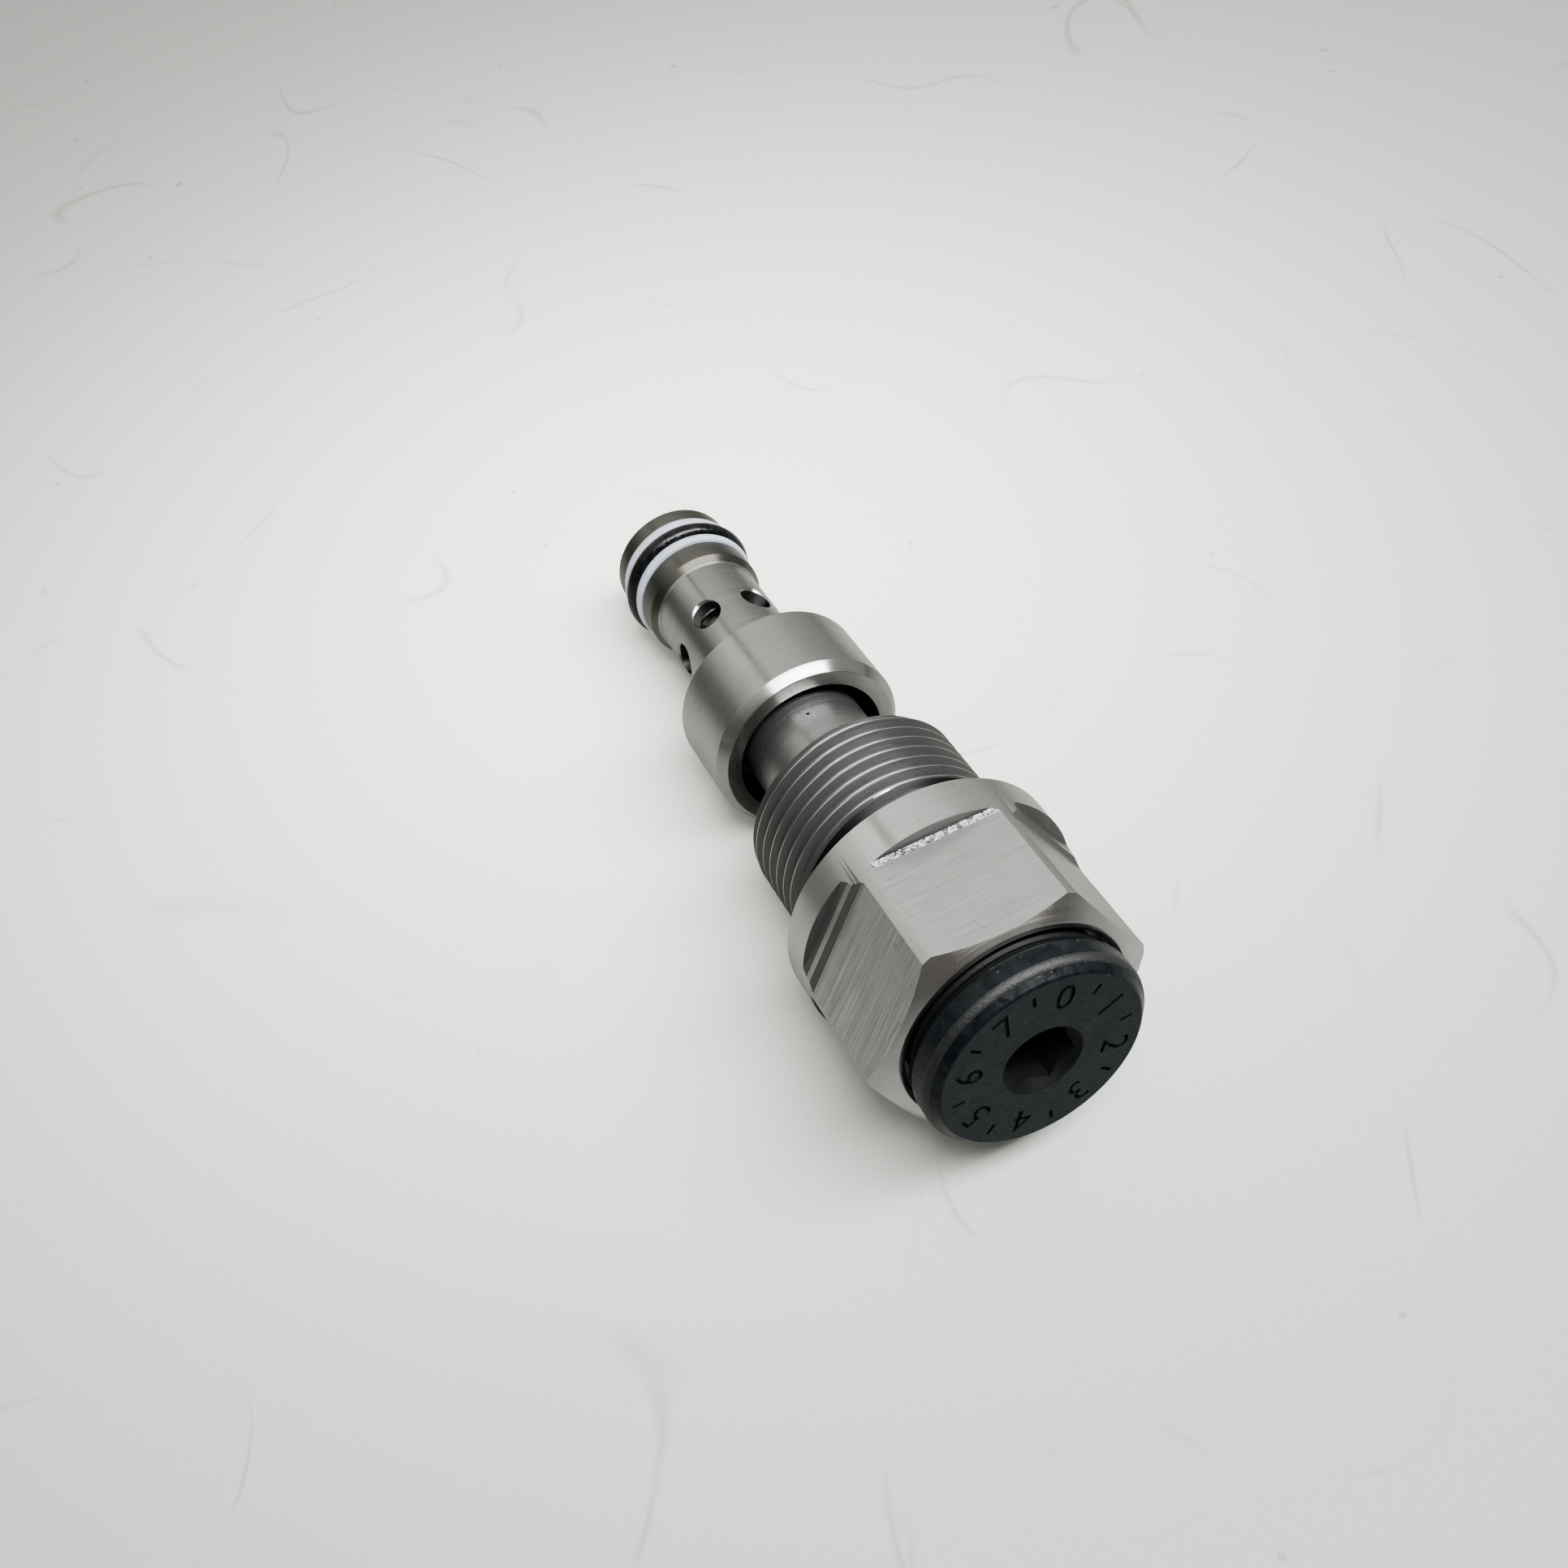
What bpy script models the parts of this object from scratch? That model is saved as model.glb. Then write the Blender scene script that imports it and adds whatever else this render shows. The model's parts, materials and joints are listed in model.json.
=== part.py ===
"""Screw-in cartridge relief valve, lying along X: nose inlet at -X, adjuster at +X, +Z up.

Stations are millimetres along the axis from the mounting shoulder (the underside of the
hexagon's flange), negative towards the nose.  The origin is on the axis, half-way along.
"""
from math import cos, pi, radians, sin, sqrt, tan, tau

import bmesh
import bpy
from mathutils import Matrix, Vector

MM = 0.001

# Overall reach from the mounting shoulder
NOSE_TIP = -60.0
HEAD_END = 21.4
MID_STATION = (NOSE_TIP + HEAD_END) / 2

# Running clearance of sliding and turning pieces, and looser gap of seals in their grooves
RUN = 0.1
GAP = 0.2

# Number of sides of large, medium and small turned pieces
LARGE = 36
MEDIUM = 24
SMALL = 20

# Hexagon head, flange and mounting thread (M22 x 1.5)
FLANGE_R = 13.6
FLANGE_THICK = 4.2
HEX_ACROSS_FLATS = 24.0
CHAMFER_ANGLE = radians(30)
HEAD_FACE = 17.0
THREAD_R = 11.0
THREAD_DEPTH = 0.92
THREAD_PITCH = 1.5
THREAD_CRESTS = 7
THREAD_FRONT = -14.0
FIRST_CREST = -12.75
CREST_LAND = 0.25
UNDERCUT_R = 9.7
UNDERCUT_FRONT = -2.9

# Shallow seat under the flange for the port O-ring, inside the flat mounting shoulder
ORING_SEAT_R = 12.0
ORING_SEAT_DEPTH = 0.15

# Stem between the thread and the nose cage, and the spigot that holds the cage
STEM_R = 6.3
STEM_END = -28.7
SPIGOT_R = 5.85
SPIGOT_END = -32.5
DRAIN_R = 0.35
DRAIN_STATION = -21.5
DRAIN_PHASE = radians(-3)

# Bores of the hexagon body
PILOT_BORE_R = 3.9
PILOT_BORE_END = -28.6
SPRING_BORE_R = 4.4
PLUNGER_BORE_R = 5.0
PLUNGER_BORE_FRONT = -14.0
ADJUST_BORE_FRONT = -6.6
ADJUST_THREAD_R = 7.0
SKIRT_BORE_R = 10.4
SKIRT_BORE_LEAD = 0.5
SKIRT_BORE_FLOOR = 7.4

# Nose cage
LAND_R = 6.6
REAR_LAND_R = 6.5
SEAL_GROOVE_R = 5.2
SEAL_GROOVE = (-57.5, -52.7)
REAR_LAND_END = -50.15
NECK_R = 5.85
NECK_START = -49.4
COLLAR_R = 10.0
COLLAR_FRONT = -33.3
COLLAR_CHAMFER_START = -24.3
COLLAR_REAR = -23.2
COLLAR_REAR_R = 9.2
RECESS_R = 7.7
RECESS_FLOOR = -29.0
CAGE_BORE_R = 4.4
INLET_R = 3.4
PORT_COUNT = 6
PORT_R = 1.7
PORT_STATION = -42.4
PORT_PHASE = radians(36)

# Seals: front backup ring, O-ring and rear backup ring share the nose groove
BACKUP_WIDTH = 1.15
BACKUP_R = 6.85
NOSE_ORING_R = 1.0
PORT_ORING_R = 0.95

# Grooves between spigot and cage: O-ring, and the round wire that holds the cage on
SPIGOT_ORING_R = 0.5
SPIGOT_ORING_STATION = -31.5
SPIGOT_ORING_GROOVE_R = 4.8
CAGE_WIRE_R = 0.35
CAGE_WIRE_STATION = -30.0

# Main poppet and its seat
SEAT_FRONT = -52.0
SEAT_REAR = -44.9
SEAT_BORE_R = 2.9
SEAT_CHAMFER = (0.9, 0.7)
POPPET_FRONT = -46.4
POPPET_REAR = -35.1
POPPET_BORE_R = 3.1
POPPET_BORE_FLOOR = -41.0
POPPET_TIP_R = 2.0
POPPET_CONE_R = 3.8
POPPET_CONE_LENGTH = 2.0
POPPET_SHOULDER = 0.8
ORIFICE_PLUG_R = 1.2
ORIFICE_R = 0.35
ORIFICE_PLUG = (-45.8, -43.0)

# Pilot stage
PILOT_SEAT = (-32.3, -29.0)
PILOT_HOLE_R = 0.9
PILOT_HOLE_CHAMFER = 0.7
PILOT_TIP = -30.65
PILOT_CONE_LENGTH = 1.9
PILOT_STEM_R = 1.6
SPRING_SEAT_FACE = -25.2
SPRING_SEAT_THICK = 1.4
SPRING_SEAT_R = 4.1
SPRING_SPIGOT_LENGTH = 1.8
SPRING_SPIGOT_TAPER = 0.3
PLUNGER_FACE = -11.6
PLUNGER_REAR = -5.6
PLUNGER_GROOVE = (-10.6, -7.7)
PLUNGER_GROOVE_DEPTH = 1.3
PLUNGER_ORING_R = 0.6
PLUNGER_BACKUP_WIDTH = 1.0

# Springs: mean radius, wire radius, turns
PILOT_SPRING = (3.15, 0.55, 7)
POPPET_SPRING = (2.3, 0.25, 7)

# Adjusting screw with its black head
HEAD_R = 10.75
HEAD_FRONT = 17.95
HEAD_NECK_R = 10.15
HEAD_FACE_R = 9.8
HEAD_EDGE_ROUND = 0.9
HEAD_FRONT_CHAMFER = 0.3
CLIP_GROOVE_R = 9.3
SHOULDER_TOP = 10.0
NECK_BOTTOM = 16.3
SOCKET_AF = 6.0
SOCKET_DEPTH = 7.5
SOCKET_PHASE = radians(-13)
SOCKET_LEAD_R = 3.8
SOCKET_LEAD_DEPTH = 0.9
CLIP_STATION = 13.6
CLIP_WIDTH = 0.8
CLIP_GROOVE_DEPTH = 0.6
CLIP_GAP = 2.6
THRUST_BALL_R = 1.5
THRUST_BALL_STATION = PLUNGER_REAR + 0.5
SHANK_CHAMFER = 0.6


def clear_scene():
    for item in list(bpy.data.objects):
        bpy.data.objects.remove(item, do_unlink=True)


def material(name, colour, roughness, metallic):
    mat = bpy.data.materials.new(name)
    mat.use_nodes = True
    shader = mat.node_tree.nodes["Principled BSDF"]
    shader.inputs["Base Color"].default_value = (*colour, 1.0)
    shader.inputs["Roughness"].default_value = roughness
    shader.inputs["Metallic"].default_value = metallic
    return mat


def finish_mesh(name, bm, mat=None):
    """Turn a bmesh in millimetres about the axis into a smooth-shaded object in metres."""
    bmesh.ops.recalc_face_normals(bm, faces=bm.faces)
    bmesh.ops.translate(bm, verts=bm.verts, vec=(-MID_STATION, 0, 0))
    bmesh.ops.scale(bm, verts=bm.verts, vec=(MM, MM, MM))
    mesh = bpy.data.meshes.new(name)
    bm.to_mesh(mesh)
    bm.free()
    if mat:
        mesh.materials.append(mat)
    mesh.shade_smooth()
    mesh.set_sharp_from_angle(angle=radians(35))
    item = bpy.data.objects.new(name, mesh)
    bpy.context.collection.objects.link(item)
    return item


def turned(name, outline, sides, mat):
    """Spin a closed outline of (station, radius) points about the axis; radius 0 is a pole."""
    bm = bmesh.new()
    rings = []
    for station, radius in outline:
        if radius == 0:
            rings.append([bm.verts.new((station, 0, 0))])
            continue
        turns = [tau * k / sides for k in range(sides)]
        rings.append([bm.verts.new((station, radius * sin(a), radius * cos(a))) for a in turns])
    for ring, following in zip(rings, rings[1:] + rings[:1]):
        for k in range(sides):
            corners = [ring[k % len(ring)], ring[(k + 1) % len(ring)],
                       following[(k + 1) % len(following)], following[k % len(following)]]
            unique = list(dict.fromkeys(corners))
            if len(unique) > 2:
                bm.faces.new(unique)
    return finish_mesh(name, bm, mat)


def arc(centre, radius, start, end, steps):
    """Points of an arc in the (station, radius) plane, angles in degrees from +station."""
    angles = [radians(start + (end - start) * k / steps) for k in range(steps + 1)]
    return [(centre[0] + radius * cos(a), centre[1] + radius * sin(a)) for a in angles]


def ring_seal(name, station, mean_radius, section_radius, sides, mat, section_sides=8):
    circle = arc((station, mean_radius), section_radius, 0, 360, section_sides)[:-1]
    return turned(name, circle, sides, mat)


def flat_ring(name, station, width, inner, outer, sides, mat):
    outline = [(station, outer), (station + width, outer), (station + width, inner), (station, inner)]
    return turned(name, outline, sides, mat)


def prism(name, station, length, across_flats, corner_phase):
    """Hexagonal prism along the axis, used as a cutter."""
    bm = bmesh.new()
    corner = across_flats / sqrt(3)
    ends = []
    for x in (station, station + length):
        angles = [corner_phase + pi / 3 * k for k in range(6)]
        ends.append([bm.verts.new((x, corner * sin(a), corner * cos(a))) for a in angles])
    for k in range(6):
        bm.faces.new([ends[0][k], ends[0][k - 1], ends[1][k - 1], ends[1][k]])
    bm.faces.new(ends[0])
    bm.faces.new(ends[1])
    return cutter(name, bm)


def cutter(name, bm):
    item = finish_mesh(name, bm)
    item.hide_render = True
    item.display_type = "WIRE"
    return item


def cut(target, tool):
    modifier = target.modifiers.new(tool.name, "BOOLEAN")
    modifier.operation = "DIFFERENCE"
    modifier.solver = "EXACT"
    modifier.object = tool


def radial_drills(name, count, phase, station, radius, reach, sides=16):
    """Round cutters standing out from the axis, from half the reach to the whole reach."""
    bm = bmesh.new()
    for k in range(count):
        spin = Matrix.Rotation(-(phase + tau * k / count), 4, "X")
        place = Matrix.Translation((station, 0, 0)) @ spin @ Matrix.Translation((0, 0, reach * 0.75))
        bmesh.ops.create_cone(bm, cap_ends=True, segments=sides, radius1=radius, radius2=radius,
                              depth=reach / 2, matrix=place)
    return cutter(name, bm)


def hex_flat_cutter():
    """Thick sleeve with a hexagonal hole: it mills the six flats and leaves the flange round."""
    bm = bmesh.new()
    inner = HEX_ACROSS_FLATS / sqrt(3)
    outer = FLANGE_R * 1.6
    ends = []
    for x in (FLANGE_THICK, HEAD_FACE + 2):
        for radius in (inner, outer):
            angles = [pi / 6 + pi / 3 * k for k in range(6)]
            ends.append([bm.verts.new((x, radius * sin(a), radius * cos(a))) for a in angles])
    front_in, front_out, rear_in, rear_out = ends
    for a, b in ((front_in, front_out), (front_out, rear_out), (rear_out, rear_in), (rear_in, front_in)):
        for k in range(6):
            bm.faces.new([a[k - 1], a[k], b[k], b[k - 1]])
    return cutter("hex_flat_cutter", bm)


def coil_spring(name, start, end, mean_radius, wire_radius, turns, mat, steps, section):
    """Closed-end compression spring wound about the axis between two stations."""
    bm = bmesh.new()
    count = turns * steps
    first, last = start + wire_radius, end - wire_radius
    rings = []
    for k in range(count + 1):
        turn = k / steps
        eased = min(max((turn - 0.5) / (turns - 1), 0), 1)
        centre = Vector((first + (last - first) * eased, 0, 0))
        outward = Vector((0, sin(tau * turn), cos(tau * turn)))
        ring = []
        for m in range(section):
            angle = tau * m / section
            offset = outward * (mean_radius + wire_radius * cos(angle))
            ring.append(bm.verts.new(centre + offset + Vector((wire_radius * sin(angle), 0, 0))))
        rings.append(ring)
    for ring, following in zip(rings, rings[1:]):
        for m in range(section):
            bm.faces.new([ring[m - 1], ring[m], following[m], following[m - 1]])
    bm.faces.new(rings[0])
    bm.faces.new(rings[-1])
    return finish_mesh(name, bm, mat)


def thread_outline():
    """V grooves of the mounting thread, from its front chamfer to the undercut."""
    root = THREAD_R - THREAD_DEPTH
    points = [(THREAD_FRONT, root), (FIRST_CREST - THREAD_PITCH / 2, THREAD_R - CREST_LAND)]
    for k in range(THREAD_CRESTS):
        crest = FIRST_CREST + k * THREAD_PITCH
        points.append((crest, THREAD_R))
        points.append((crest + THREAD_PITCH / 2, root))
    return points


def groove(station, half, surface_r, floor_r):
    """Four corners of a square groove or, with floor_r the larger, of a groove in a bore."""
    return [(station - half, surface_r), (station - half, floor_r),
            (station + half, floor_r), (station + half, surface_r)]


def hex_body(mat):
    """Hexagon head, flange, thread, stem and spigot in one piece, bored through."""
    face_edge_r = HEX_ACROSS_FLATS / 2 - 0.6
    chamfer_start = HEAD_FACE - (FLANGE_R - face_edge_r) * tan(CHAMFER_ANGLE)
    wire_half = CAGE_WIRE_R + RUN
    outline = [(SPIGOT_END, SPIGOT_R)]
    outline += groove(SPIGOT_ORING_STATION, SPIGOT_ORING_R + RUN, SPIGOT_R, SPIGOT_ORING_GROOVE_R)
    outline += groove(CAGE_WIRE_STATION, wire_half, SPIGOT_R, SPIGOT_R - wire_half)
    outline += [(STEM_END, SPIGOT_R), (STEM_END, STEM_R), (THREAD_FRONT, STEM_R)]
    outline += thread_outline()
    outline += [(UNDERCUT_FRONT, UNDERCUT_R), (ORING_SEAT_DEPTH, UNDERCUT_R),
                (ORING_SEAT_DEPTH, ORING_SEAT_R), (0, ORING_SEAT_R), (0, FLANGE_R),
                (chamfer_start, FLANGE_R), (HEAD_FACE, face_edge_r),
                (HEAD_FACE, SKIRT_BORE_R + SKIRT_BORE_LEAD), (HEAD_FACE - SKIRT_BORE_LEAD, SKIRT_BORE_R)]
    outline += reversed(groove(CLIP_STATION, CLIP_GROOVE_DEPTH, SKIRT_BORE_R,
                               SKIRT_BORE_R + CLIP_GROOVE_DEPTH))
    outline += [(SKIRT_BORE_FLOOR, SKIRT_BORE_R), (SKIRT_BORE_FLOOR, ADJUST_THREAD_R),
                (ADJUST_BORE_FRONT, ADJUST_THREAD_R), (ADJUST_BORE_FRONT, PLUNGER_BORE_R),
                (PLUNGER_BORE_FRONT, PLUNGER_BORE_R), (PLUNGER_BORE_FRONT, SPRING_BORE_R),
                (PILOT_BORE_END, SPRING_BORE_R), (PILOT_BORE_END, PILOT_BORE_R),
                (SPIGOT_END, PILOT_BORE_R)]
    body = turned("hex_body", outline, LARGE, mat)
    cut(body, hex_flat_cutter())
    cut(body, radial_drills("drain_drill", 1, DRAIN_PHASE, DRAIN_STATION, DRAIN_R, 2 * SPRING_BORE_R, 8))


def nose_cage(mat):
    """Seal lands, ported neck and recessed collar in one piece, bored for the poppet."""
    spigot_bore = SPIGOT_R + RUN
    wire_half = CAGE_WIRE_R + RUN
    spigot_floor = SPIGOT_END - 0.3
    seat_floor = SEAT_FRONT - 0.3
    tip_chamfer = 0.5
    collar_chamfer = 0.35
    outline = [(NOSE_TIP, LAND_R - tip_chamfer), (NOSE_TIP + tip_chamfer, LAND_R),
               (SEAL_GROOVE[0], LAND_R), (SEAL_GROOVE[0], SEAL_GROOVE_R),
               (SEAL_GROOVE[1], SEAL_GROOVE_R), (SEAL_GROOVE[1], REAR_LAND_R),
               (REAR_LAND_END, REAR_LAND_R), (NECK_START, NECK_R), (COLLAR_FRONT, NECK_R),
               (COLLAR_FRONT, COLLAR_R - collar_chamfer), (COLLAR_FRONT + collar_chamfer, COLLAR_R),
               (COLLAR_CHAMFER_START, COLLAR_R), (COLLAR_REAR, COLLAR_REAR_R), (COLLAR_REAR, RECESS_R),
               (RECESS_FLOOR, RECESS_R), (RECESS_FLOOR, spigot_bore)]
    outline += reversed(groove(CAGE_WIRE_STATION, wire_half, spigot_bore, spigot_bore + wire_half))
    outline += [(spigot_floor, spigot_bore), (spigot_floor, CAGE_BORE_R), (seat_floor, CAGE_BORE_R),
                (seat_floor, INLET_R), (NOSE_TIP, INLET_R)]
    cage = turned("nose_cage", outline, LARGE, mat)
    cut(cage, radial_drills("port_drill", PORT_COUNT, PORT_PHASE, PORT_STATION, PORT_R, 2 * CAGE_BORE_R - 1))


def nose_seals(rubber, white):
    front, rear = SEAL_GROOVE
    inner = SEAL_GROOVE_R + RUN
    flat_ring("nose_backup_front", front + RUN, BACKUP_WIDTH, inner, BACKUP_R, MEDIUM, white)
    flat_ring("nose_backup_rear", rear - RUN - BACKUP_WIDTH, BACKUP_WIDTH, inner, BACKUP_R, MEDIUM, white)
    ring_seal("nose_o_ring", (front + rear) / 2, SEAL_GROOVE_R + GAP / 2 + NOSE_ORING_R,
              NOSE_ORING_R, MEDIUM, rubber)


def port_seal(rubber):
    """O-ring in the undercut, against the mounting shoulder."""
    ring_seal("port_o_ring", -PORT_ORING_R - GAP, UNDERCUT_R + GAP / 2 + PORT_ORING_R,
              PORT_ORING_R, LARGE, rubber)


def spigot_rings(rubber, wire):
    ring_seal("spigot_o_ring", SPIGOT_ORING_STATION, SPIGOT_ORING_GROOVE_R + SPIGOT_ORING_R + RUN / 2,
              SPIGOT_ORING_R, MEDIUM, rubber, 6)
    ring_seal("cage_retaining_ring", CAGE_WIRE_STATION, SPIGOT_R + RUN / 2, CAGE_WIRE_R, MEDIUM, wire, 6)


def seat_insert(mat):
    outer = CAGE_BORE_R - RUN
    depth, width = SEAT_CHAMFER
    turned("seat_insert", [(SEAT_FRONT, outer), (SEAT_REAR, outer), (SEAT_REAR, SEAT_BORE_R + width),
                           (SEAT_REAR - depth, SEAT_BORE_R), (SEAT_FRONT, SEAT_BORE_R)], SMALL, mat)


def poppet(mat):
    """Cup-shaped poppet: its cone closes the seat, its skirt slides in the cage's bore."""
    outer = CAGE_BORE_R - RUN
    cone_end = POPPET_FRONT + POPPET_CONE_LENGTH
    plug_bore = ORIFICE_PLUG_R + RUN
    turned("poppet", [(POPPET_FRONT, POPPET_TIP_R), (cone_end, POPPET_CONE_R),
                      (cone_end + POPPET_SHOULDER, outer), (POPPET_REAR, outer),
                      (POPPET_REAR, POPPET_BORE_R), (POPPET_BORE_FLOOR, POPPET_BORE_R),
                      (POPPET_BORE_FLOOR, plug_bore), (POPPET_FRONT, plug_bore)], MEDIUM, mat)


def orifice_plug(mat):
    front, rear = ORIFICE_PLUG
    flat_ring("orifice_plug", front, rear - front, ORIFICE_R, ORIFICE_PLUG_R, 12, mat)


def pilot_stage(steel):
    """Pilot seat pressed in the spigot, the pilot cone on it and the spring plate behind it."""
    front, rear = PILOT_SEAT
    outer = PILOT_BORE_R - RUN
    turned("pilot_seat", [(front, outer), (rear, outer), (rear, PILOT_HOLE_R + PILOT_HOLE_CHAMFER),
                          (rear - PILOT_HOLE_CHAMFER, PILOT_HOLE_R), (front, PILOT_HOLE_R)],
           SMALL, steel)
    plate_front = SPRING_SEAT_FACE - SPRING_SEAT_THICK
    turned("pilot_cone", [(PILOT_TIP, 0), (PILOT_TIP + PILOT_CONE_LENGTH, PILOT_STEM_R),
                          (plate_front - GAP, PILOT_STEM_R), (plate_front - GAP, 0)], SMALL, steel)
    spigot = PILOT_SPRING[0] - PILOT_SPRING[1] - GAP
    spigot_end = SPRING_SEAT_FACE + SPRING_SPIGOT_LENGTH
    turned("front_spring_seat", [(plate_front, 0), (plate_front, SPRING_SEAT_R),
                                 (SPRING_SEAT_FACE, SPRING_SEAT_R), (SPRING_SEAT_FACE, spigot),
                                 (spigot_end, spigot - SPRING_SPIGOT_TAPER), (spigot_end, 0)],
           SMALL, steel)


def plunger(steel, rubber, white, ball_steel):
    """Rear spring plate, sealed in the body and pushed by the screw through a ball."""
    outer = PLUNGER_BORE_R - RUN
    groove_r = outer - PLUNGER_GROOVE_DEPTH
    groove_front, groove_rear = PLUNGER_GROOVE
    spigot = PILOT_SPRING[0] - PILOT_SPRING[1] - GAP
    spigot_end = PLUNGER_FACE - SPRING_SPIGOT_LENGTH
    pocket = arc((THRUST_BALL_STATION, 0), THRUST_BALL_R + RUN, 108, 180, 4)
    turned("rear_spring_seat", [(spigot_end, 0), (spigot_end, spigot - SPRING_SPIGOT_TAPER),
                                (PLUNGER_FACE, spigot), (PLUNGER_FACE, outer), (groove_front, outer),
                                (groove_front, groove_r), (groove_rear, groove_r), (groove_rear, outer),
                                (PLUNGER_REAR, outer)] + pocket[:-1] + [(pocket[-1][0], 0)],
           SMALL, steel)
    oring_end = groove_front + RUN + 2 * PLUNGER_ORING_R
    ring_seal("plunger_o_ring", oring_end - PLUNGER_ORING_R, groove_r + PLUNGER_ORING_R + RUN / 2,
              PLUNGER_ORING_R, SMALL, rubber, 6)
    flat_ring("plunger_backup_ring", oring_end + GAP, PLUNGER_BACKUP_WIDTH, groove_r + RUN,
              outer - RUN / 2, SMALL, white)
    ball = arc((THRUST_BALL_STATION, 0), THRUST_BALL_R, 180, 0, 6)[1:-1]
    turned("thrust_ball", [(THRUST_BALL_STATION - THRUST_BALL_R, 0)] + ball
           + [(THRUST_BALL_STATION + THRUST_BALL_R, 0)], 12, ball_steel)


def adjusting_screw(mat):
    """Black head, neck running in the body, threaded shank and hexagon socket."""
    shank = ADJUST_THREAD_R - RUN
    tip = THRUST_BALL_STATION
    shoulder = SKIRT_BORE_FLOOR + 1.5
    guide_r = SKIRT_BORE_R - RUN
    socket_step = HEAD_END - SOCKET_LEAD_DEPTH
    round_centre = (HEAD_END - 0.6 - HEAD_EDGE_ROUND, HEAD_R - HEAD_EDGE_ROUND)
    pocket = arc((tip, 0), THRUST_BALL_R + RUN, 0, 90, 4)
    outline = [(tip, shank - SHANK_CHAMFER), (tip + SHANK_CHAMFER, shank), (shoulder, shank),
               (shoulder, guide_r), (SHOULDER_TOP, guide_r), (SHOULDER_TOP, CLIP_GROOVE_R),
               (NECK_BOTTOM, CLIP_GROOVE_R), (NECK_BOTTOM, HEAD_NECK_R), (HEAD_FRONT, HEAD_NECK_R),
               (HEAD_FRONT, HEAD_R - HEAD_FRONT_CHAMFER), (HEAD_FRONT + HEAD_FRONT_CHAMFER, HEAD_R)]
    outline += arc(round_centre, HEAD_EDGE_ROUND, 90, 35, 3)
    outline += [(HEAD_END, HEAD_FACE_R), (HEAD_END, SOCKET_LEAD_R), (socket_step, SOCKET_AF / 2 - RUN),
                (socket_step, 0), (pocket[0][0], 0)] + pocket[1:]
    screw = turned("adjusting_screw", outline, LARGE, mat)
    cut(screw, prism("socket_cutter", HEAD_END - SOCKET_DEPTH, SOCKET_DEPTH + 1, SOCKET_AF, SOCKET_PHASE))


def retaining_ring(mat):
    """Split spring ring that stops the screw's shoulder, with its gap at the lower side."""
    outer = SKIRT_BORE_R + CLIP_GROOVE_DEPTH - GAP
    ring = flat_ring("adjuster_retaining_ring", CLIP_STATION - CLIP_WIDTH / 2, CLIP_WIDTH,
                     CLIP_GROOVE_R + GAP, outer, MEDIUM, mat)
    bm = bmesh.new()
    size = (CLIP_WIDTH * 3, CLIP_GAP, outer)
    place = Matrix.Translation((CLIP_STATION, 0, -outer)) @ Matrix.Diagonal((*size, 1))
    bmesh.ops.create_cube(bm, size=1, matrix=place)
    cut(ring, cutter("ring_gap", bm))


def main():
    clear_scene()
    zinc = material("zinc_steel", (0.60, 0.60, 0.58), 0.38, 1.0)
    turned_steel = material("turned_steel", (0.52, 0.52, 0.49), 0.40, 1.0)
    hard_steel = material("hardened_steel", (0.38, 0.37, 0.36), 0.30, 1.0)
    spring_steel = material("spring_steel", (0.30, 0.30, 0.31), 0.35, 1.0)
    ball_steel = material("ball_steel", (0.70, 0.70, 0.70), 0.10, 1.0)
    brass = material("orifice_brass", (0.72, 0.55, 0.28), 0.30, 1.0)
    black_head = material("black_head", (0.045, 0.050, 0.055), 0.50, 0.0)
    rubber = material("seal_rubber", (0.015, 0.015, 0.017), 0.35, 0.0)
    ptfe = material("backup_ptfe", (0.78, 0.80, 0.85), 0.45, 0.0)

    hex_body(zinc)
    nose_cage(turned_steel)
    nose_seals(rubber, ptfe)
    port_seal(rubber)
    spigot_rings(rubber, spring_steel)
    seat_insert(hard_steel)
    poppet(hard_steel)
    orifice_plug(brass)
    pilot_stage(hard_steel)
    plunger(hard_steel, rubber, ptfe, ball_steel)
    adjusting_screw(black_head)
    coil_spring("adjusting_spring", SPRING_SEAT_FACE + RUN, PLUNGER_FACE - RUN, *PILOT_SPRING,
                spring_steel, steps=12, section=5)
    coil_spring("poppet_spring", POPPET_BORE_FLOOR + RUN, PILOT_SEAT[0] - RUN, *POPPET_SPRING,
                spring_steel, steps=10, section=4)
    retaining_ring(spring_steel)


main()
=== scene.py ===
"""Looks of a screw-in cartridge relief valve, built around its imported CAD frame.

Shapes are given in stations: millimetres along the valve's axis from the mounting shoulder
(the flange's underside), negative towards the nose.  The record's mounting_shoulder mount
says where that is in the frame.
"""
import json
from math import atan2, ceil, cos, hypot, pi, radians, sin, sqrt, tan, tau

import bmesh
import bpy
from mathutils import Matrix, Quaternion, Vector


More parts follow.
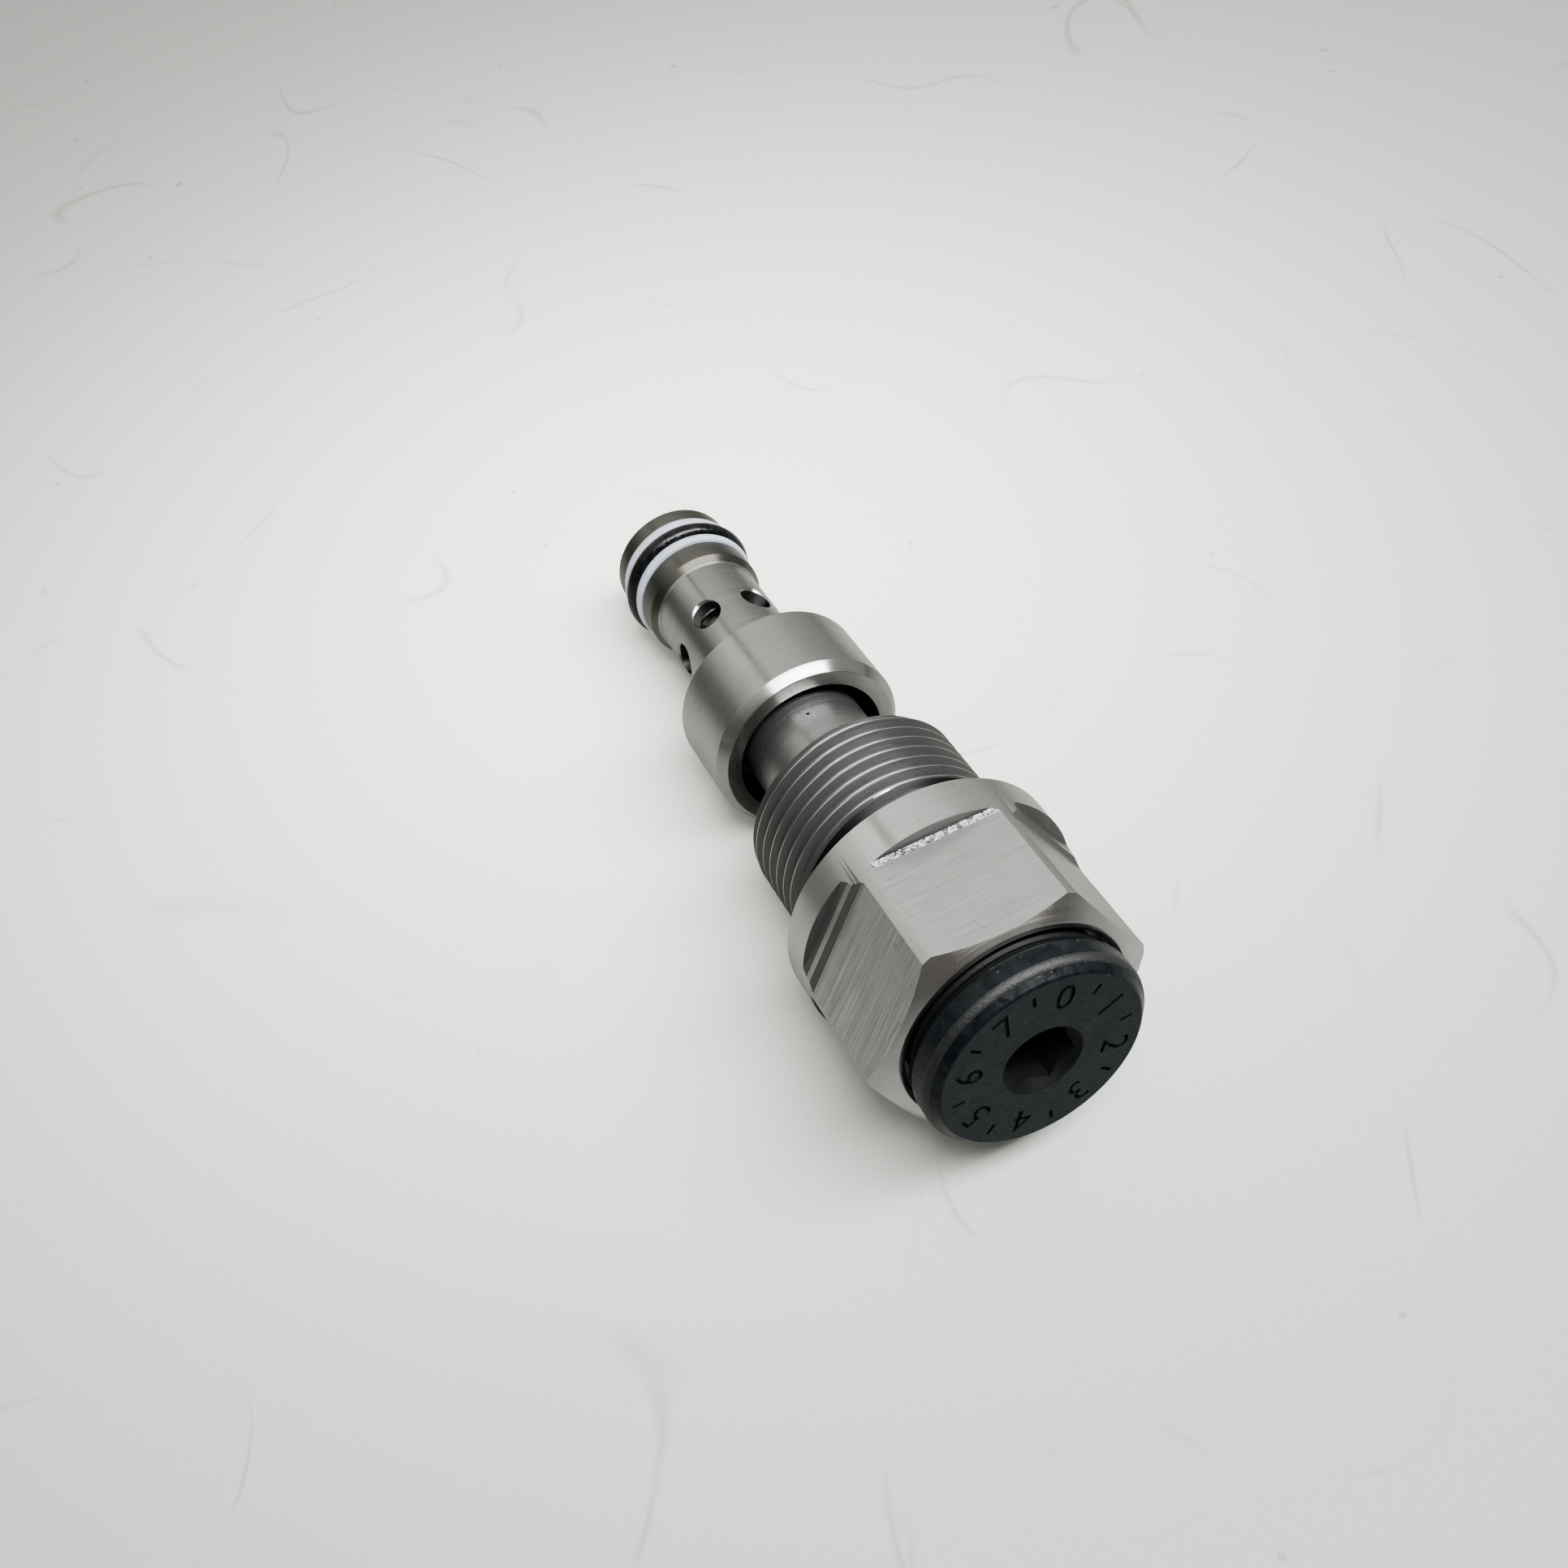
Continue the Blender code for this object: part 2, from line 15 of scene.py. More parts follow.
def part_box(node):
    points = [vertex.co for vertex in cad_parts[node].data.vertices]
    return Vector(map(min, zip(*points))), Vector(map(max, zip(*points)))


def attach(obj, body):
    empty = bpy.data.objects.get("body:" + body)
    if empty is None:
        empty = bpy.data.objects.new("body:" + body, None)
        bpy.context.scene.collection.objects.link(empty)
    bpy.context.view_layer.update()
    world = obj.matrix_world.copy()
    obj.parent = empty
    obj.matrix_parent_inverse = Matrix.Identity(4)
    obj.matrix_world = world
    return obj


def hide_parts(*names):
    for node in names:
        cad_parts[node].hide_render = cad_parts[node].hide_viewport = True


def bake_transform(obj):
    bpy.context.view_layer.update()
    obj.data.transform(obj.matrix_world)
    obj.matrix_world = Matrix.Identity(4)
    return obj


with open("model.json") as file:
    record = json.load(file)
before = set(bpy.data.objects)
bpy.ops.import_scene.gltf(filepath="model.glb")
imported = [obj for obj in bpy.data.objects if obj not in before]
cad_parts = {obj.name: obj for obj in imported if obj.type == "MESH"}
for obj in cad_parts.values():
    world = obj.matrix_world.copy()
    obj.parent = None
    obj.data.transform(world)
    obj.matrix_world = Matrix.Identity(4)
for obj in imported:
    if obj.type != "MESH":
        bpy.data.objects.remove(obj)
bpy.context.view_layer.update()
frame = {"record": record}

MM = 0.001
MOUNTS = {mount["name"]: mount for mount in frame["record"]["mounts"]}
SHOULDER_X = MOUNTS["mounting_shoulder"]["pos_m"][0] / MM

# Driving dimensions read from the frame
FLANGE_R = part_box("hex_body")[1].y / MM
HEAD_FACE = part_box("hex_body")[1].x / MM - SHOULDER_X
HEX_HALF = MOUNTS["hex_flat"]["pos_m"][2] / MM
NOSE_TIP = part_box("nose_cage")[0].x / MM - SHOULDER_X
COLLAR_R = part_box("nose_cage")[1].z / MM
HEAD_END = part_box("adjusting_screw")[1].x / MM - SHOULDER_X
HEAD_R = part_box("adjusting_screw")[1].z / MM
BACKUP_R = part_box("nose_backup_front")[1].z / MM
THREAD_FRONT = MOUNTS["thread_end_face"]["pos_m"][0] / MM - SHOULDER_X

# Running clearance, and the number of sides of large, medium and small turned pieces
RUN = 0.1
LARGE = 240
MEDIUM = 144
SMALL = 96

# Edges turned less than this are shaded smooth
SMOOTH_ANGLE = radians(32)

# Mounting thread, M22 x 1.5, right-hand
THREAD_R = 11.0
THREAD_PITCH = 1.5
THREAD_DEPTH = 0.92
FIRST_CREST = -12.75
CREST_HALF = 0.07
ROOT_ROUND = 0.12
LAST_TURN = 6
FLANK_SLOPE = sqrt(3)
STEPS_PER_PITCH = 16
THREAD_REAR = -2.9
UNDERCUT_R = 9.7
ORING_SEAT = (0.15, 12.0)

# Hexagon: chamfered end, and the steps that the milling cutter left at the root of each flat,
# by the flat's angle from +Z towards +Y: stations, and heights above the flat
CHAMFER_ANGLE = radians(30)
HEX_STEPS = {
    0: [(4.3, 0.32), (4.36, 0.25), (4.62, 0.05), (4.75, 0)],
    60: [(3.35, 0.66), (4.05, 0.50), (4.6, 0.44), (4.66, 0.34), (4.82, 0.31), (4.87, 0.23), (5.0, 0.2),
         (5.04, 0.12), (5.17, 0.1), (5.21, 0.04), (5.36, 0.03), (5.39, 0)],
    120: [(4.1, 0.4), (4.25, 0.15), (4.6, 0)],
    180: [(4.25, 0.4), (4.4, 0.12), (4.75, 0)],
    240: [(4.15, 0.45), (4.3, 0.15), (4.7, 0)],
    300: [(3.3, 0.68), (4.0, 0.51), (4.55, 0.44), (4.61, 0.34), (4.77, 0.31), (4.82, 0.23), (4.95, 0.2),
          (4.99, 0.12), (5.12, 0.1), (5.16, 0.04), (5.31, 0.03), (5.34, 0)],
}

# Stem, spigot and bores of the body, and the groove and gap of the retaining ring in it
STEM_R = 6.3
STEM_END = -28.7
SPIGOT_R = 5.85
SPIGOT_END = -32.5
SPIGOT_SEAL = (-31.5, 0.6, 4.8)
CAGE_WIRE = (-30.0, 0.45)
DRAIN_STATION = -21.5
DRAIN_R = 0.2
DRAIN_PHASE = radians(-3)
PILOT_BORE = (3.9, -28.6)
SPRING_BORE_R = 4.4
PLUNGER_BORE = (5.0, -14.0)
ADJUST_BORE = (7.0, -6.6)
SKIRT_BORE_R = 10.4
SKIRT_FLOOR = 7.4
CLIP_STATION = 13.6
CLIP_GROOVE = 0.6
CLIP_GAP = 2.6

# Nose cage
LAND_R = 6.6
REAR_LAND_R = 6.5
SEAL_GROOVE = (-57.5, -52.7, 5.2)
LAND_REAR = -50.15
NECK_START = -49.4
NECK_R = 5.85
COLLAR_FRONT = -33.3
COLLAR_REAR = -23.2
COLLAR_CHAMFER = (1.1, 0.8)
COLLAR_EDGE = 0.35
RECESS = (7.7, -29.0)
CAGE_BORE_R = 4.4
INLET_R = 3.4
INLET_SHOULDER = -52.3
PORTS = 6
PORT_R = 1.7
PORT_LEAD = 0.14
PORT_STATION = -42.4
PORT_PHASE = radians(36)

# Seals
BACKUP_WIDTH = 1.15
NOSE_ORING_R = 1.0
PORT_ORING_R = 0.95

# Adjusting screw
HEAD_FRONT = 17.95
HEAD_NECK_R = 10.15
HEAD_FACE_R = 9.8
SCREW_NECK_R = 9.3
SHOULDER_TOP = 10.0
NECK_BOTTOM = 16.3
SHANK_TIP = -5.1
SHANK_R = 6.9
SHANK_REAR = 8.9
SHANK_DEPTH = 0.8
SOCKET_AF = 6.0
SOCKET_DEPTH = 7.5
SOCKET_PHASE = radians(-13)
SOCKET_MOUTH_R = 3.8
BALL_R = 1.5
DIAL_MARKS = 8
DIAL_PHASE = radians(20)
DIAL_R = 7.2
DIAL_SIZE = 3.9
DIAL_DEPTH = 0.22
DIAL_TICK = (0.35, 1.2)

# Size of the small curve that breaks corners: body, cage, adjusting screw and inner pieces; and
# of the bevel along the hexagon's edges
BODY_EDGE = 0.12
CAGE_EDGE = 0.09
SCREW_EDGE = 0.06
INNER_EDGE = 0.08
HEX_EDGE = 0.07

# Inner pieces: stations of their front and rear ends, or of one place, and radii; the plunger's
# groove has a depth, its backup ring a middle and half width, its O-ring a middle and section
SEAT = (-52.0, -44.9)
SEAT_HOLE_R = 2.9
POPPET = (-46.4, -35.1)
POPPET_CONE = ((-46.4, 2.0), (-44.4, 3.8))
POPPET_GUIDE = -43.6
POPPET_GROOVE = -41.6
POPPET_CUP = (-41.0, 3.1)
ORIFICE = (-45.8, -43.0)
ORIFICE_R = (1.2, 0.35)
PILOT_SEAT = (-32.3, -29.0)
PILOT_HOLE_R = 0.9
PILOT_CONE = (-30.65, -26.8)
PILOT_CONE_R = 1.6
FRONT_PLATE = (-26.6, -25.2)
FRONT_PLATE_R = 4.1
FRONT_PLATE_PIN = -23.4
REAR_PLATE_PIN = -13.4
PLUNGER = (-11.6, -5.6)
PLUNGER_GROOVE = (-10.6, -7.7, 1.3)
PLUNGER_BACKUP = (-8.6, 0.5)
PLUNGER_ORING = (-9.9, 0.6)

# Springs: mean radius, wire radius, turns; the stations each lies between; what its ends lose
ADJUSTING_SPRING = (3.15, 0.55, 7)
ADJUSTING_SPAN = (-25.1, -11.7)
POPPET_SPRING = (2.3, 0.25, 7)
POPPET_SPAN = (-40.9, -32.4)
SPRING_GROUND = 0.12

# Camera: where it looks, in millimetres, and from where, in degrees
CAMERA_AIM = (-1.13, -4.48, -0.22)
CAMERA_DISTANCE = 181.7
CAMERA_AZIMUTH = -73.13
CAMERA_ELEVATION = 44.71
CAMERA_ROLL = -11.87
LENS = 42.3
SENSOR = 36.0

# Brightness of the room by angle about the valve's axis, from +Z towards +Y, in degrees
ROOM_LEVELS = [(-180, 0.5), (-100, 0.50), (-78, 0.22), (-63, 0.34), (-52, 0.75), (-41, 1.10), (-30, 1.6),
               (-18, 1.6), (-15, 0.55), (-11, 0.5), (-8, 1.35), (8, 1.25), (24, 1.1), (37, 0.95),
               (47, 0.66), (62, 0.60), (95, 0.62), (120, 0.5)]
ROOM_STRENGTH = 1.0
ROOM_TINT = (1, 1.01, 0.965)

# Whoever holds the camera darkens the head's side: from and to these x of the direction
ROOM_DARK_SIDE = (0.30, 0.62)
ROOM_DARK_COLOUR = (0.15, 0.135, 0.12)

# What a camera sees past the floor's edge
ROOM_WALL_COLOUR = (0.42, 0.425, 0.41)

# Floor: half side and gap under the valve, metres and millimetres, and squares along a side
FLOOR_HALF = 3.0
FLOOR_GAP = 0.05
FLOOR_STEPS = 24

# Painted pool of light: the floor's colour is palest around a spot beyond the valve's nose and darker away
# from it; its x and y, the falloff's reach and power
PAINTED_LIGHT_POOL = (-70.8, 2.2, 148.0)
PAINTED_LIGHT_FADE = 3.46
# Floor colour in the middle of the painted pool of light, and far from it
PAINTED_POOL_COLOUR = (0.885, 0.94, 0.84)
PAINTED_FALLOFF_COLOUR = (0.14, 0.14, 0.133)

# Floor scratches: scale of their pattern, width, bend and strength
FLOOR_SCRATCHES = ((0.011, 0.0035, 0.4, 0.75), (0.023, 0.0060, 0.2, 0.55))

# Painted shade on the floor's mirror image in the metal: the share of the floor's colour taken away where
# reflected rays see it
PAINTED_MIRROR_SHADE = 0.73

# Lights: direction from the valve, distance, sides, power, and whether metal mirrors it
LIGHTS = [("key", (0.45, 0.27, 0.87), 0.55, (0.16, 0.60), 15.5, True),
          ("fill", (-0.10, 0.35, 0.95), 0.8, (0.8, 0.8), 3.5, False)]

# Order of the finishes on the body, on the cage and on the adjusting screw; several are painted light:
# darker copies of a metal for shade, a brighter one for a highlight
STEEL, THREAD_SHADE, MILLED, TORN_HIGHLIGHT, STEM, WALL_SHADE = range(6)
COLLAR, LANDS, BORE_SHADE, NECK = range(4)
SIDE, RIM, FACE, HIDDEN_AND_SHADE = range(4)


# ---------------------------------------------------------------- shapes

def point(station, radius, angle):
    """Frame position of a turned point, its angle counted from +Z towards +Y."""
    x = (station + SHOULDER_X) * MM
    return Vector((x, radius * sin(angle) * MM, radius * cos(angle) * MM))


def directions(angle):
    """Outward from the axis at an angle, and across to that."""
    return Vector((0, sin(angle), cos(angle))), Vector((0, cos(angle), -sin(angle)))


def arc(centre, radius, start, end, steps):
    """Points of an arc in the (station, radius) plane, angles in degrees from +station."""
    turns = [radians(start + (end - start) * k / steps) for k in range(steps + 1)]
    return [(centre[0] + radius * cos(a), centre[1] + radius * sin(a)) for a in turns]


def stepped(station, radius, *moves):
    """Outline that goes from a point along to a station, then in or out to a radius, and so on."""
    outline = [(station, radius)]
    for k, move in enumerate(moves):
        station, radius = (station, move) if k % 2 else (move, radius)
        outline.append((station, radius))
    return outline


def rounded(outline, radius, steps=3):
    """Break every corner of a closed outline by a small curve, except on the axis."""
    result = []
    count = len(outline)
    for k, (x, r) in enumerate(outline):
        corner = Vector((x, r))
        before = Vector(outline[k - 1]) - corner
        after = Vector(outline[(k + 1) % count]) - corner
        if r == 0 or before.angle(-after) < radians(12):
            result.append((x, r))
            continue
        reach = min(radius, before.length * 0.4, after.length * 0.4)
        start = corner + before.normalized() * reach
        end = corner + after.normalized() * reach
        for m in range(steps + 1):
            t = m / steps
            p = start.lerp(corner, t).lerp(corner.lerp(end, t), t)
            result.append((p.x, p.y))
    return result


def open_rounded(outline, radius, steps=3):
    """The same for an open outline, whose two ends stay as they are."""
    corner = steps + 1
    return outline[:1] + rounded(outline, radius, steps)[corner:-corner] + outline[-1:]


def place(name, data):
    item = bpy.data.objects.new(name, data)
    bpy.context.scene.collection.objects.link(item)
    return item


def new_object(name, bm, mats, smooth_angle=SMOOTH_ANGLE):
    bmesh.ops.remove_doubles(bm, verts=bm.verts, dist=1e-7)
    bmesh.ops.dissolve_degenerate(bm, edges=bm.edges, dist=1e-7)
    bmesh.ops.recalc_face_normals(bm, faces=bm.faces)
    mesh = bpy.data.meshes.new(name)
    bm.to_mesh(mesh)
    bm.free()
    for mat in mats:
        mesh.materials.append(mat)
    shade(mesh, smooth_angle)
    return place(name, mesh)


def shade(mesh, smooth_angle=SMOOTH_ANGLE):
    mesh.shade_smooth()
    mesh.set_sharp_from_angle(angle=smooth_angle)


def evaluated(item):
    """New mesh of what an object's modifiers, or its text, make."""
    graph = bpy.context.evaluated_depsgraph_get()
    return bpy.data.meshes.new_from_object(item.evaluated_get(graph))


def sized(x, y, z):
    """Matrix that scales by millimetres."""
    return Matrix.Diagonal((x * MM, y * MM, z * MM, 1))


def turned_rings(bm, outline, sides):
    """Rings of an outline turned about the axis, skinned from each ring to the next."""
    rings = []
    for station, radius in outline:
        if radius == 0:
            rings.append([bm.verts.new(point(station, 0, 0))] * sides)
        else:
            rings.append([bm.verts.new(point(station, radius, -tau * k / sides)) for k in range(sides)])
    for ring, following in zip(rings, rings[1:]):
        skin_between(bm, ring, following)
    return rings


def spin(bm, outline, sides):
    """Faces of a closed outline turned about the axis."""
    rings = turned_rings(bm, outline, sides)
    skin_between(bm, rings[-1], rings[0])


def skin_between(bm, ring, following):
    for k in range(len(ring)):
        skin(bm, ring[k - 1], ring[k], following[k], following[k - 1])


def closed_tube(bm, rings):
    """Skin from ring to ring, with a face on each end."""
    for ring, following in zip(rings, rings[1:]):
        skin_between(bm, ring, following)
    bm.faces.new(rings[0])
    bm.faces.new(rings[-1])


def skin(bm, *corners):
    """A face on the given corners, less those that coincide."""
    unique = list(dict.fromkeys(corners))
    if len(unique) > 2:
        bm.faces.new(unique)


def thread_depth(offset, pitch, crest_half, depth):
    """Depth below the crest of a 60 degree thread with a rounded root."""
    across = abs((offset / pitch + 0.5) % 1 - 0.5) * pitch
    drop = max(0.0, across - crest_half) * FLANK_SLOPE
    beyond = (drop - depth) / ROOT_ROUND + 1
    if beyond > 0:
        drop = depth - ROOT_ROUND / (1 + beyond)
    return drop


def helix_surface(bm, front, rear, thread, envelope, sides):
    """Right-hand thread between two end planes; thread is a crest's station, pitch, radius and depth."""
    crest, pitch, crest_r, depth = thread
    step = pitch / STEPS_PER_PITCH
    count = ceil((rear - front + pitch) / step) + 1
    columns = []
    for k in range(sides):
        advance = pitch * k / sides
        column = []
        for i in range(count):
            base = front - pitch + i * step
            station = min(max(base + advance, front), rear)
            drop = thread_depth(base - crest, pitch, CREST_HALF, depth)
            radius = min(envelope(station), crest_r - drop)
            if station in (front, rear):
                radius = envelope(station)
            column.append(bm.verts.new(point(station, radius, -tau * k / sides)))
        columns.append(column)
    for k in range(sides):
        here = columns[k]
        after = columns[(k + 1) % sides]
        shift = STEPS_PER_PITCH if k == sides - 1 else 0
        for i in range(count - 1):
            low, high = min(i + shift, count - 1), min(i + 1 + shift, count - 1)
            skin(bm, here[i], here[i + 1], after[high], after[low])


def threaded(name, outline, stretch, thread, envelope, sides, mats):
    """Turned solid that carries a helical thread between the two stations of stretch.

    The outline is open there: it starts at the thread's rear end and comes round to its front.
    """
    bm = bmesh.new()
    turned_rings(bm, outline, sides)
    helix_surface(bm, *stretch, thread, envelope, sides)
    return new_object(name, bm, mats)


def turned(name, outline, sides, mats, edge=0.1):
    bm = bmesh.new()
    spin(bm, rounded(outline, edge) if edge else outline, sides)
    return new_object(name, bm, mats)


def prism(profile, angle, half_width):
    """Cutter: a (station, height) profile standing on a flat, drawn out across it."""
    bm = bmesh.new()
    outward, across = directions(angle)
    ends = []
    for side in (-1, 1):
        shift = across * side * half_width * MM
        ends.append([bm.verts.new(point(x, 0, 0) + outward * h * MM + shift) for x, h in profile])
    closed_tube(bm, ends)
    return bm


def drill(bm, station, angle, levels, sides):
    """Add a radial cutter; levels are its distances from the axis and its radii there."""
    outward, across = directions(angle)
    along = Vector((1, 0, 0))
    centre = point(station, 0, 0)
    rings = []
    for distance, r in levels:
        ring = []
        for k in range(sides):
            a = tau * k / sides
            ring.append(bm.verts.new(centre + (outward * distance + along * r * cos(a)
                                               + across * r * sin(a)) * MM))
        rings.append(ring)
    closed_tube(bm, rings)


def carve(item, bm):
    """Cut the closed shapes in bm out of item, for good."""
    tool = new_object("cutter", bm, ())
    modifier = item.modifiers.new("cut", "BOOLEAN")
    modifier.operation = "DIFFERENCE"
    modifier.solver = "MANIFOLD"
    modifier.object = tool
    mesh = evaluated(item)
    item.modifiers.clear()
    item.data = mesh
    shade(mesh)
    bpy.data.objects.remove(tool, do_unlink=True)


def break_edges(item, width, wanted):
    """Round the sharp edges that the test wanted(edge) picks."""
    bm = bmesh.new()
    bm.from_mesh(item.data)
    edges = [e for e in bm.edges if e.is_manifold and e.calc_face_angle(0) > radians(20) and wanted(e)]
    bmesh.ops.bevel(bm, geom=edges, offset=width * MM, segments=2, profile=0.6,
                    affect="EDGES", clamp_overlap=True)
    bm.to_mesh(item.data)
    bm.free()
    shade(item.data)


def paint(item, rule):
    """Give each face the finish that rule(station, radius, normal, angle) says; keep flats flat."""
    for face in item.data.polygons:
        x, y, z = face.center / MM
        face.material_index = rule(x - SHOULDER_X, hypot(y, z), face.normal, atan2(y, z))
    modifier = item.modifiers.new("flats", "WEIGHTED_NORMAL")
    modifier.keep_sharp = True
    modifier.weight = 90


def coil(name, start, end, spring, mat, share=(0.0, 1.0), steps=48, section=14):
    """Closed-end compression spring with ground ends; share is the part of its turns to make."""
    mean_radius, wire_radius, turns = spring
    bm = bmesh.new()
    first, last = start + wire_radius, end - wire_radius
    rings = []
    for k in range(round(share[0] * turns * steps), round(share[1] * turns * steps) + 1):
        turn = k / steps
        eased = min(max((turn - 0.6) / (turns - 1.2), 0), 1)
        station = first + (last - first) * eased
        ring = []
        for m in range(section):
            a = tau * m / section
            along = min(max(station + wire_radius * sin(a), start + SPRING_GROUND), end - SPRING_GROUND)
            ring.append(bm.verts.new(point(along, mean_radius + wire_radius * cos(a), -tau * turn)))
        rings.append(ring)
    closed_tube(bm, rings)
    return new_object(name, bm, [mat])


def ring_seal(name, station, mean_radius, section_radius, sides, mat, flash=0.0):
    """O-ring, with the thin moulding flash that real ones have where the mould halves met."""
    steps = 28
    outline = []
    for k in range(steps):
        a = tau * k / steps
        reach = section_radius + (flash if k in (0, steps // 2) else 0)
        outline.append((station + reach * sin(a), mean_radius + reach * cos(a)))
    bm = bmesh.new()
    spin(bm, outline, sides)
    return new_object(name, bm, [mat], smooth_angle=radians(60))


# ---------------------------------------------------------------- materials

class Nodes:
    """A node tree under construction; each method adds a node, returning its output."""

    def __init__(self, tree):
        self.tree = tree

    def node(self, kind, inputs=None, **settings):
        made = self.tree.nodes.new(kind)
        for key, value in settings.items():
            setattr(made, key, value)
        for key, value in (inputs or {}).items():
            self.feed(made.inputs[key], value)
        return made

    def feed(self, socket, value):
        if isinstance(value, bpy.types.NodeSocket):
            self.tree.links.new(value, socket)
        else:
            socket.default_value = value

    def math(self, operation, a, b=0.0):
        return self.node("ShaderNodeMath", {0: a, 1: b}, operation=operation).outputs[0]

    def times(self, a, b):
        return self.math("MULTIPLY", a, b)

    def vector(self, operation, a, b):
        return self.node("ShaderNodeVectorMath", {0: a, 1: b}, operation=operation).outputs[0]

    def combine(self, x, y, z):
        return self.node("ShaderNodeCombineXYZ", {0: x, 1: y, 2: z}).outputs[0]

    def noise(self, where, scale=1.0, detail=2.0, rough=0.5, warp=0.0):
        return self.node("ShaderNodeTexNoise", {"Vector": where, "Scale": scale, "Detail": detail,
                                                "Roughness": rough, "Distortion": warp}).outputs[0]

    def span(self, value, low, high, to_low=0.0, to_high=1.0):
        """Map low..high to to_low..to_high, clamped."""
        return self.node("ShaderNodeMapRange", {0: value, 1: low, 2: high, 3: to_low, 4: to_high}).outputs[0]

    def tint(self, share, first, second):
        """Colour between first and second."""
        made = self.node("ShaderNodeMix", {0: share}, data_type="RGBA")
        for socket, value in ((made.inputs[6], first), (made.inputs[7], second)):
            self.feed(socket, value if isinstance(value, bpy.types.NodeSocket) else (*value, 1.0))
        return made.outputs[2]


class Shader(Nodes):
    """A Principled material; x, y, z, radius and mm are the place on the surface, in millimetres."""

    def __init__(self, name, colour, roughness, metallic=0.0, **uniform):
        self.mat = bpy.data.materials.new(name)
        self.mat.use_nodes = True
        super().__init__(self.mat.node_tree)
        self.bsdf = self.tree.nodes["Principled BSDF"]
        self.set("Base Color", (*colour, 1.0))
        self.set("Roughness", roughness)
        self.set("Metallic", metallic)
        for socket, value in uniform.items():
            self.set(socket.replace("_", " "), value)
        position = self.node("ShaderNodeTexCoord").outputs["Object"]
        self.mm = self.vector("MULTIPLY", position, (1 / MM,) * 3)
        self.x, self.y, self.z = self.node("ShaderNodeSeparateXYZ", {0: self.mm}).outputs
        square = self.math("ADD", self.times(self.y, self.y), self.times(self.z, self.z))
        self.radius = self.math("SQRT", square)

    def set(self, socket, value):
        self.feed(self.bsdf.inputs[socket], value)

    def bump(self, height, depth_mm, under=None):
        inputs = {"Height": height, "Distance": depth_mm * MM, "Strength": 1.0}
        if under is not None:
            inputs["Normal"] = under
        return self.node("ShaderNodeBump", inputs).outputs[0]

    def turning_marks(self, across, along=0.12):
        """Noise that runs round the axis: quick along it, slow round it."""
        drift = self.times(self.math("ADD", self.y, self.times(self.z, 0.7)), along)
        where = self.combine(self.times(self.x, across), self.times(self.radius, across), drift)
        return self.noise(where, detail=4.0, rough=0.65)

    def milling_marks(self, across, along=0.10):
        """Noise that runs across a flat, in slight arcs like a cutter's path."""
        bow = self.times(self.noise(self.mm, scale=0.09, detail=1.0), 0.35)
        where = self.combine(self.times(self.math("ADD", self.x, bow), across),
                             self.times(self.y, along), self.times(self.z, along))
        return self.noise(where, detail=4.0, rough=0.7)


def turned_metal(name, colour, dark, roughness, grain=9.0, depth=0.0022, grip=0.78, bare=1.0):
    """Lathe-turned metal: fine grooves, faint stains and small dark nicks; bare is how clean it is."""
    s = Shader(name, colour, roughness, bare, Anisotropic=grip, Anisotropic_Rotation=0.25)
    s.set("Tangent", s.node("ShaderNodeTangent", direction_type="RADIAL", axis="X").outputs[0])
    fine = s.turning_marks(grain)
    bands = s.turning_marks(grain / 5, 0.05)
    cloud = s.noise(s.mm, scale=0.28, detail=3.0)
    nicks = s.span(s.noise(s.mm, scale=2.3, detail=2.0), 0.70, 0.76)
    shade = s.times(s.span(cloud, 0.42, 0.68), 0.35)
    base = s.tint(shade, colour, dark)
    base = s.tint(s.times(s.span(bands, 0.35, 0.7), 0.22), base, dark)
    s.set("Base Color", s.tint(s.times(nicks, 0.5), base, tuple(c * 0.4 for c in dark)))
    s.set("Roughness", s.math("ADD", s.span(fine, 0.3, 0.7, roughness - 0.05, roughness + 0.07),
                              s.times(shade, 0.12)))
    s.set("Normal", s.bump(fine, depth, s.bump(bands, depth * 1.6)))
    return s.mat


def milled_metal(name, colour, dark, roughness):
    """Flat left by a milling cutter: fine lines across it, a few smudges."""
    s = Shader(name, colour, roughness, 1.0, Anisotropic=0.4, Anisotropic_Rotation=0.25)
    s.set("Tangent", s.node("ShaderNodeTangent", direction_type="RADIAL", axis="X").outputs[0])
    fine = s.milling_marks(6.5, 0.12)
    coarse = s.milling_marks(1.3, 0.05)
    cloud = s.noise(s.mm, scale=0.33, detail=4.0)
    smudge = s.span(s.noise(s.mm, scale=0.55, detail=3.0, warp=0.6), 0.66, 0.74)
    base = s.tint(s.times(s.span(fine, 0.36, 0.64), 0.9), colour, dark)
    base = s.tint(s.times(s.span(cloud, 0.4, 0.7), 0.25), base, dark)
    s.set("Base Color", s.tint(s.times(smudge, 0.45), base, tuple(c * 0.45 for c in dark)))
    s.set("Roughness", s.span(fine, 0.3, 0.7, roughness - 0.06, roughness + 0.10))
    s.set("Normal", s.bump(fine, 0.005, s.bump(coarse, 0.005)))
    return s.mat


def torn_metal(name, colour, dark):
    """Root of the milled step, where the cutter's corner tore facets; their bright colour is a painted
    highlight.
    """
    s = Shader(name, colour, 0.2, 1.0)
    chips = s.noise(s.mm, scale=2.6, detail=4.0, rough=0.7)
    burr = s.noise(s.mm, scale=1.1, detail=2.0)
    s.set("Base Color", s.tint(s.span(chips, 0.40, 0.56), dark, colour))
    s.set("Roughness", s.span(chips, 0.3, 0.7, 0.10, 0.30))
    s.set("Normal", s.bump(chips, 0.35, s.bump(burr, 0.6)))
    return s.mat


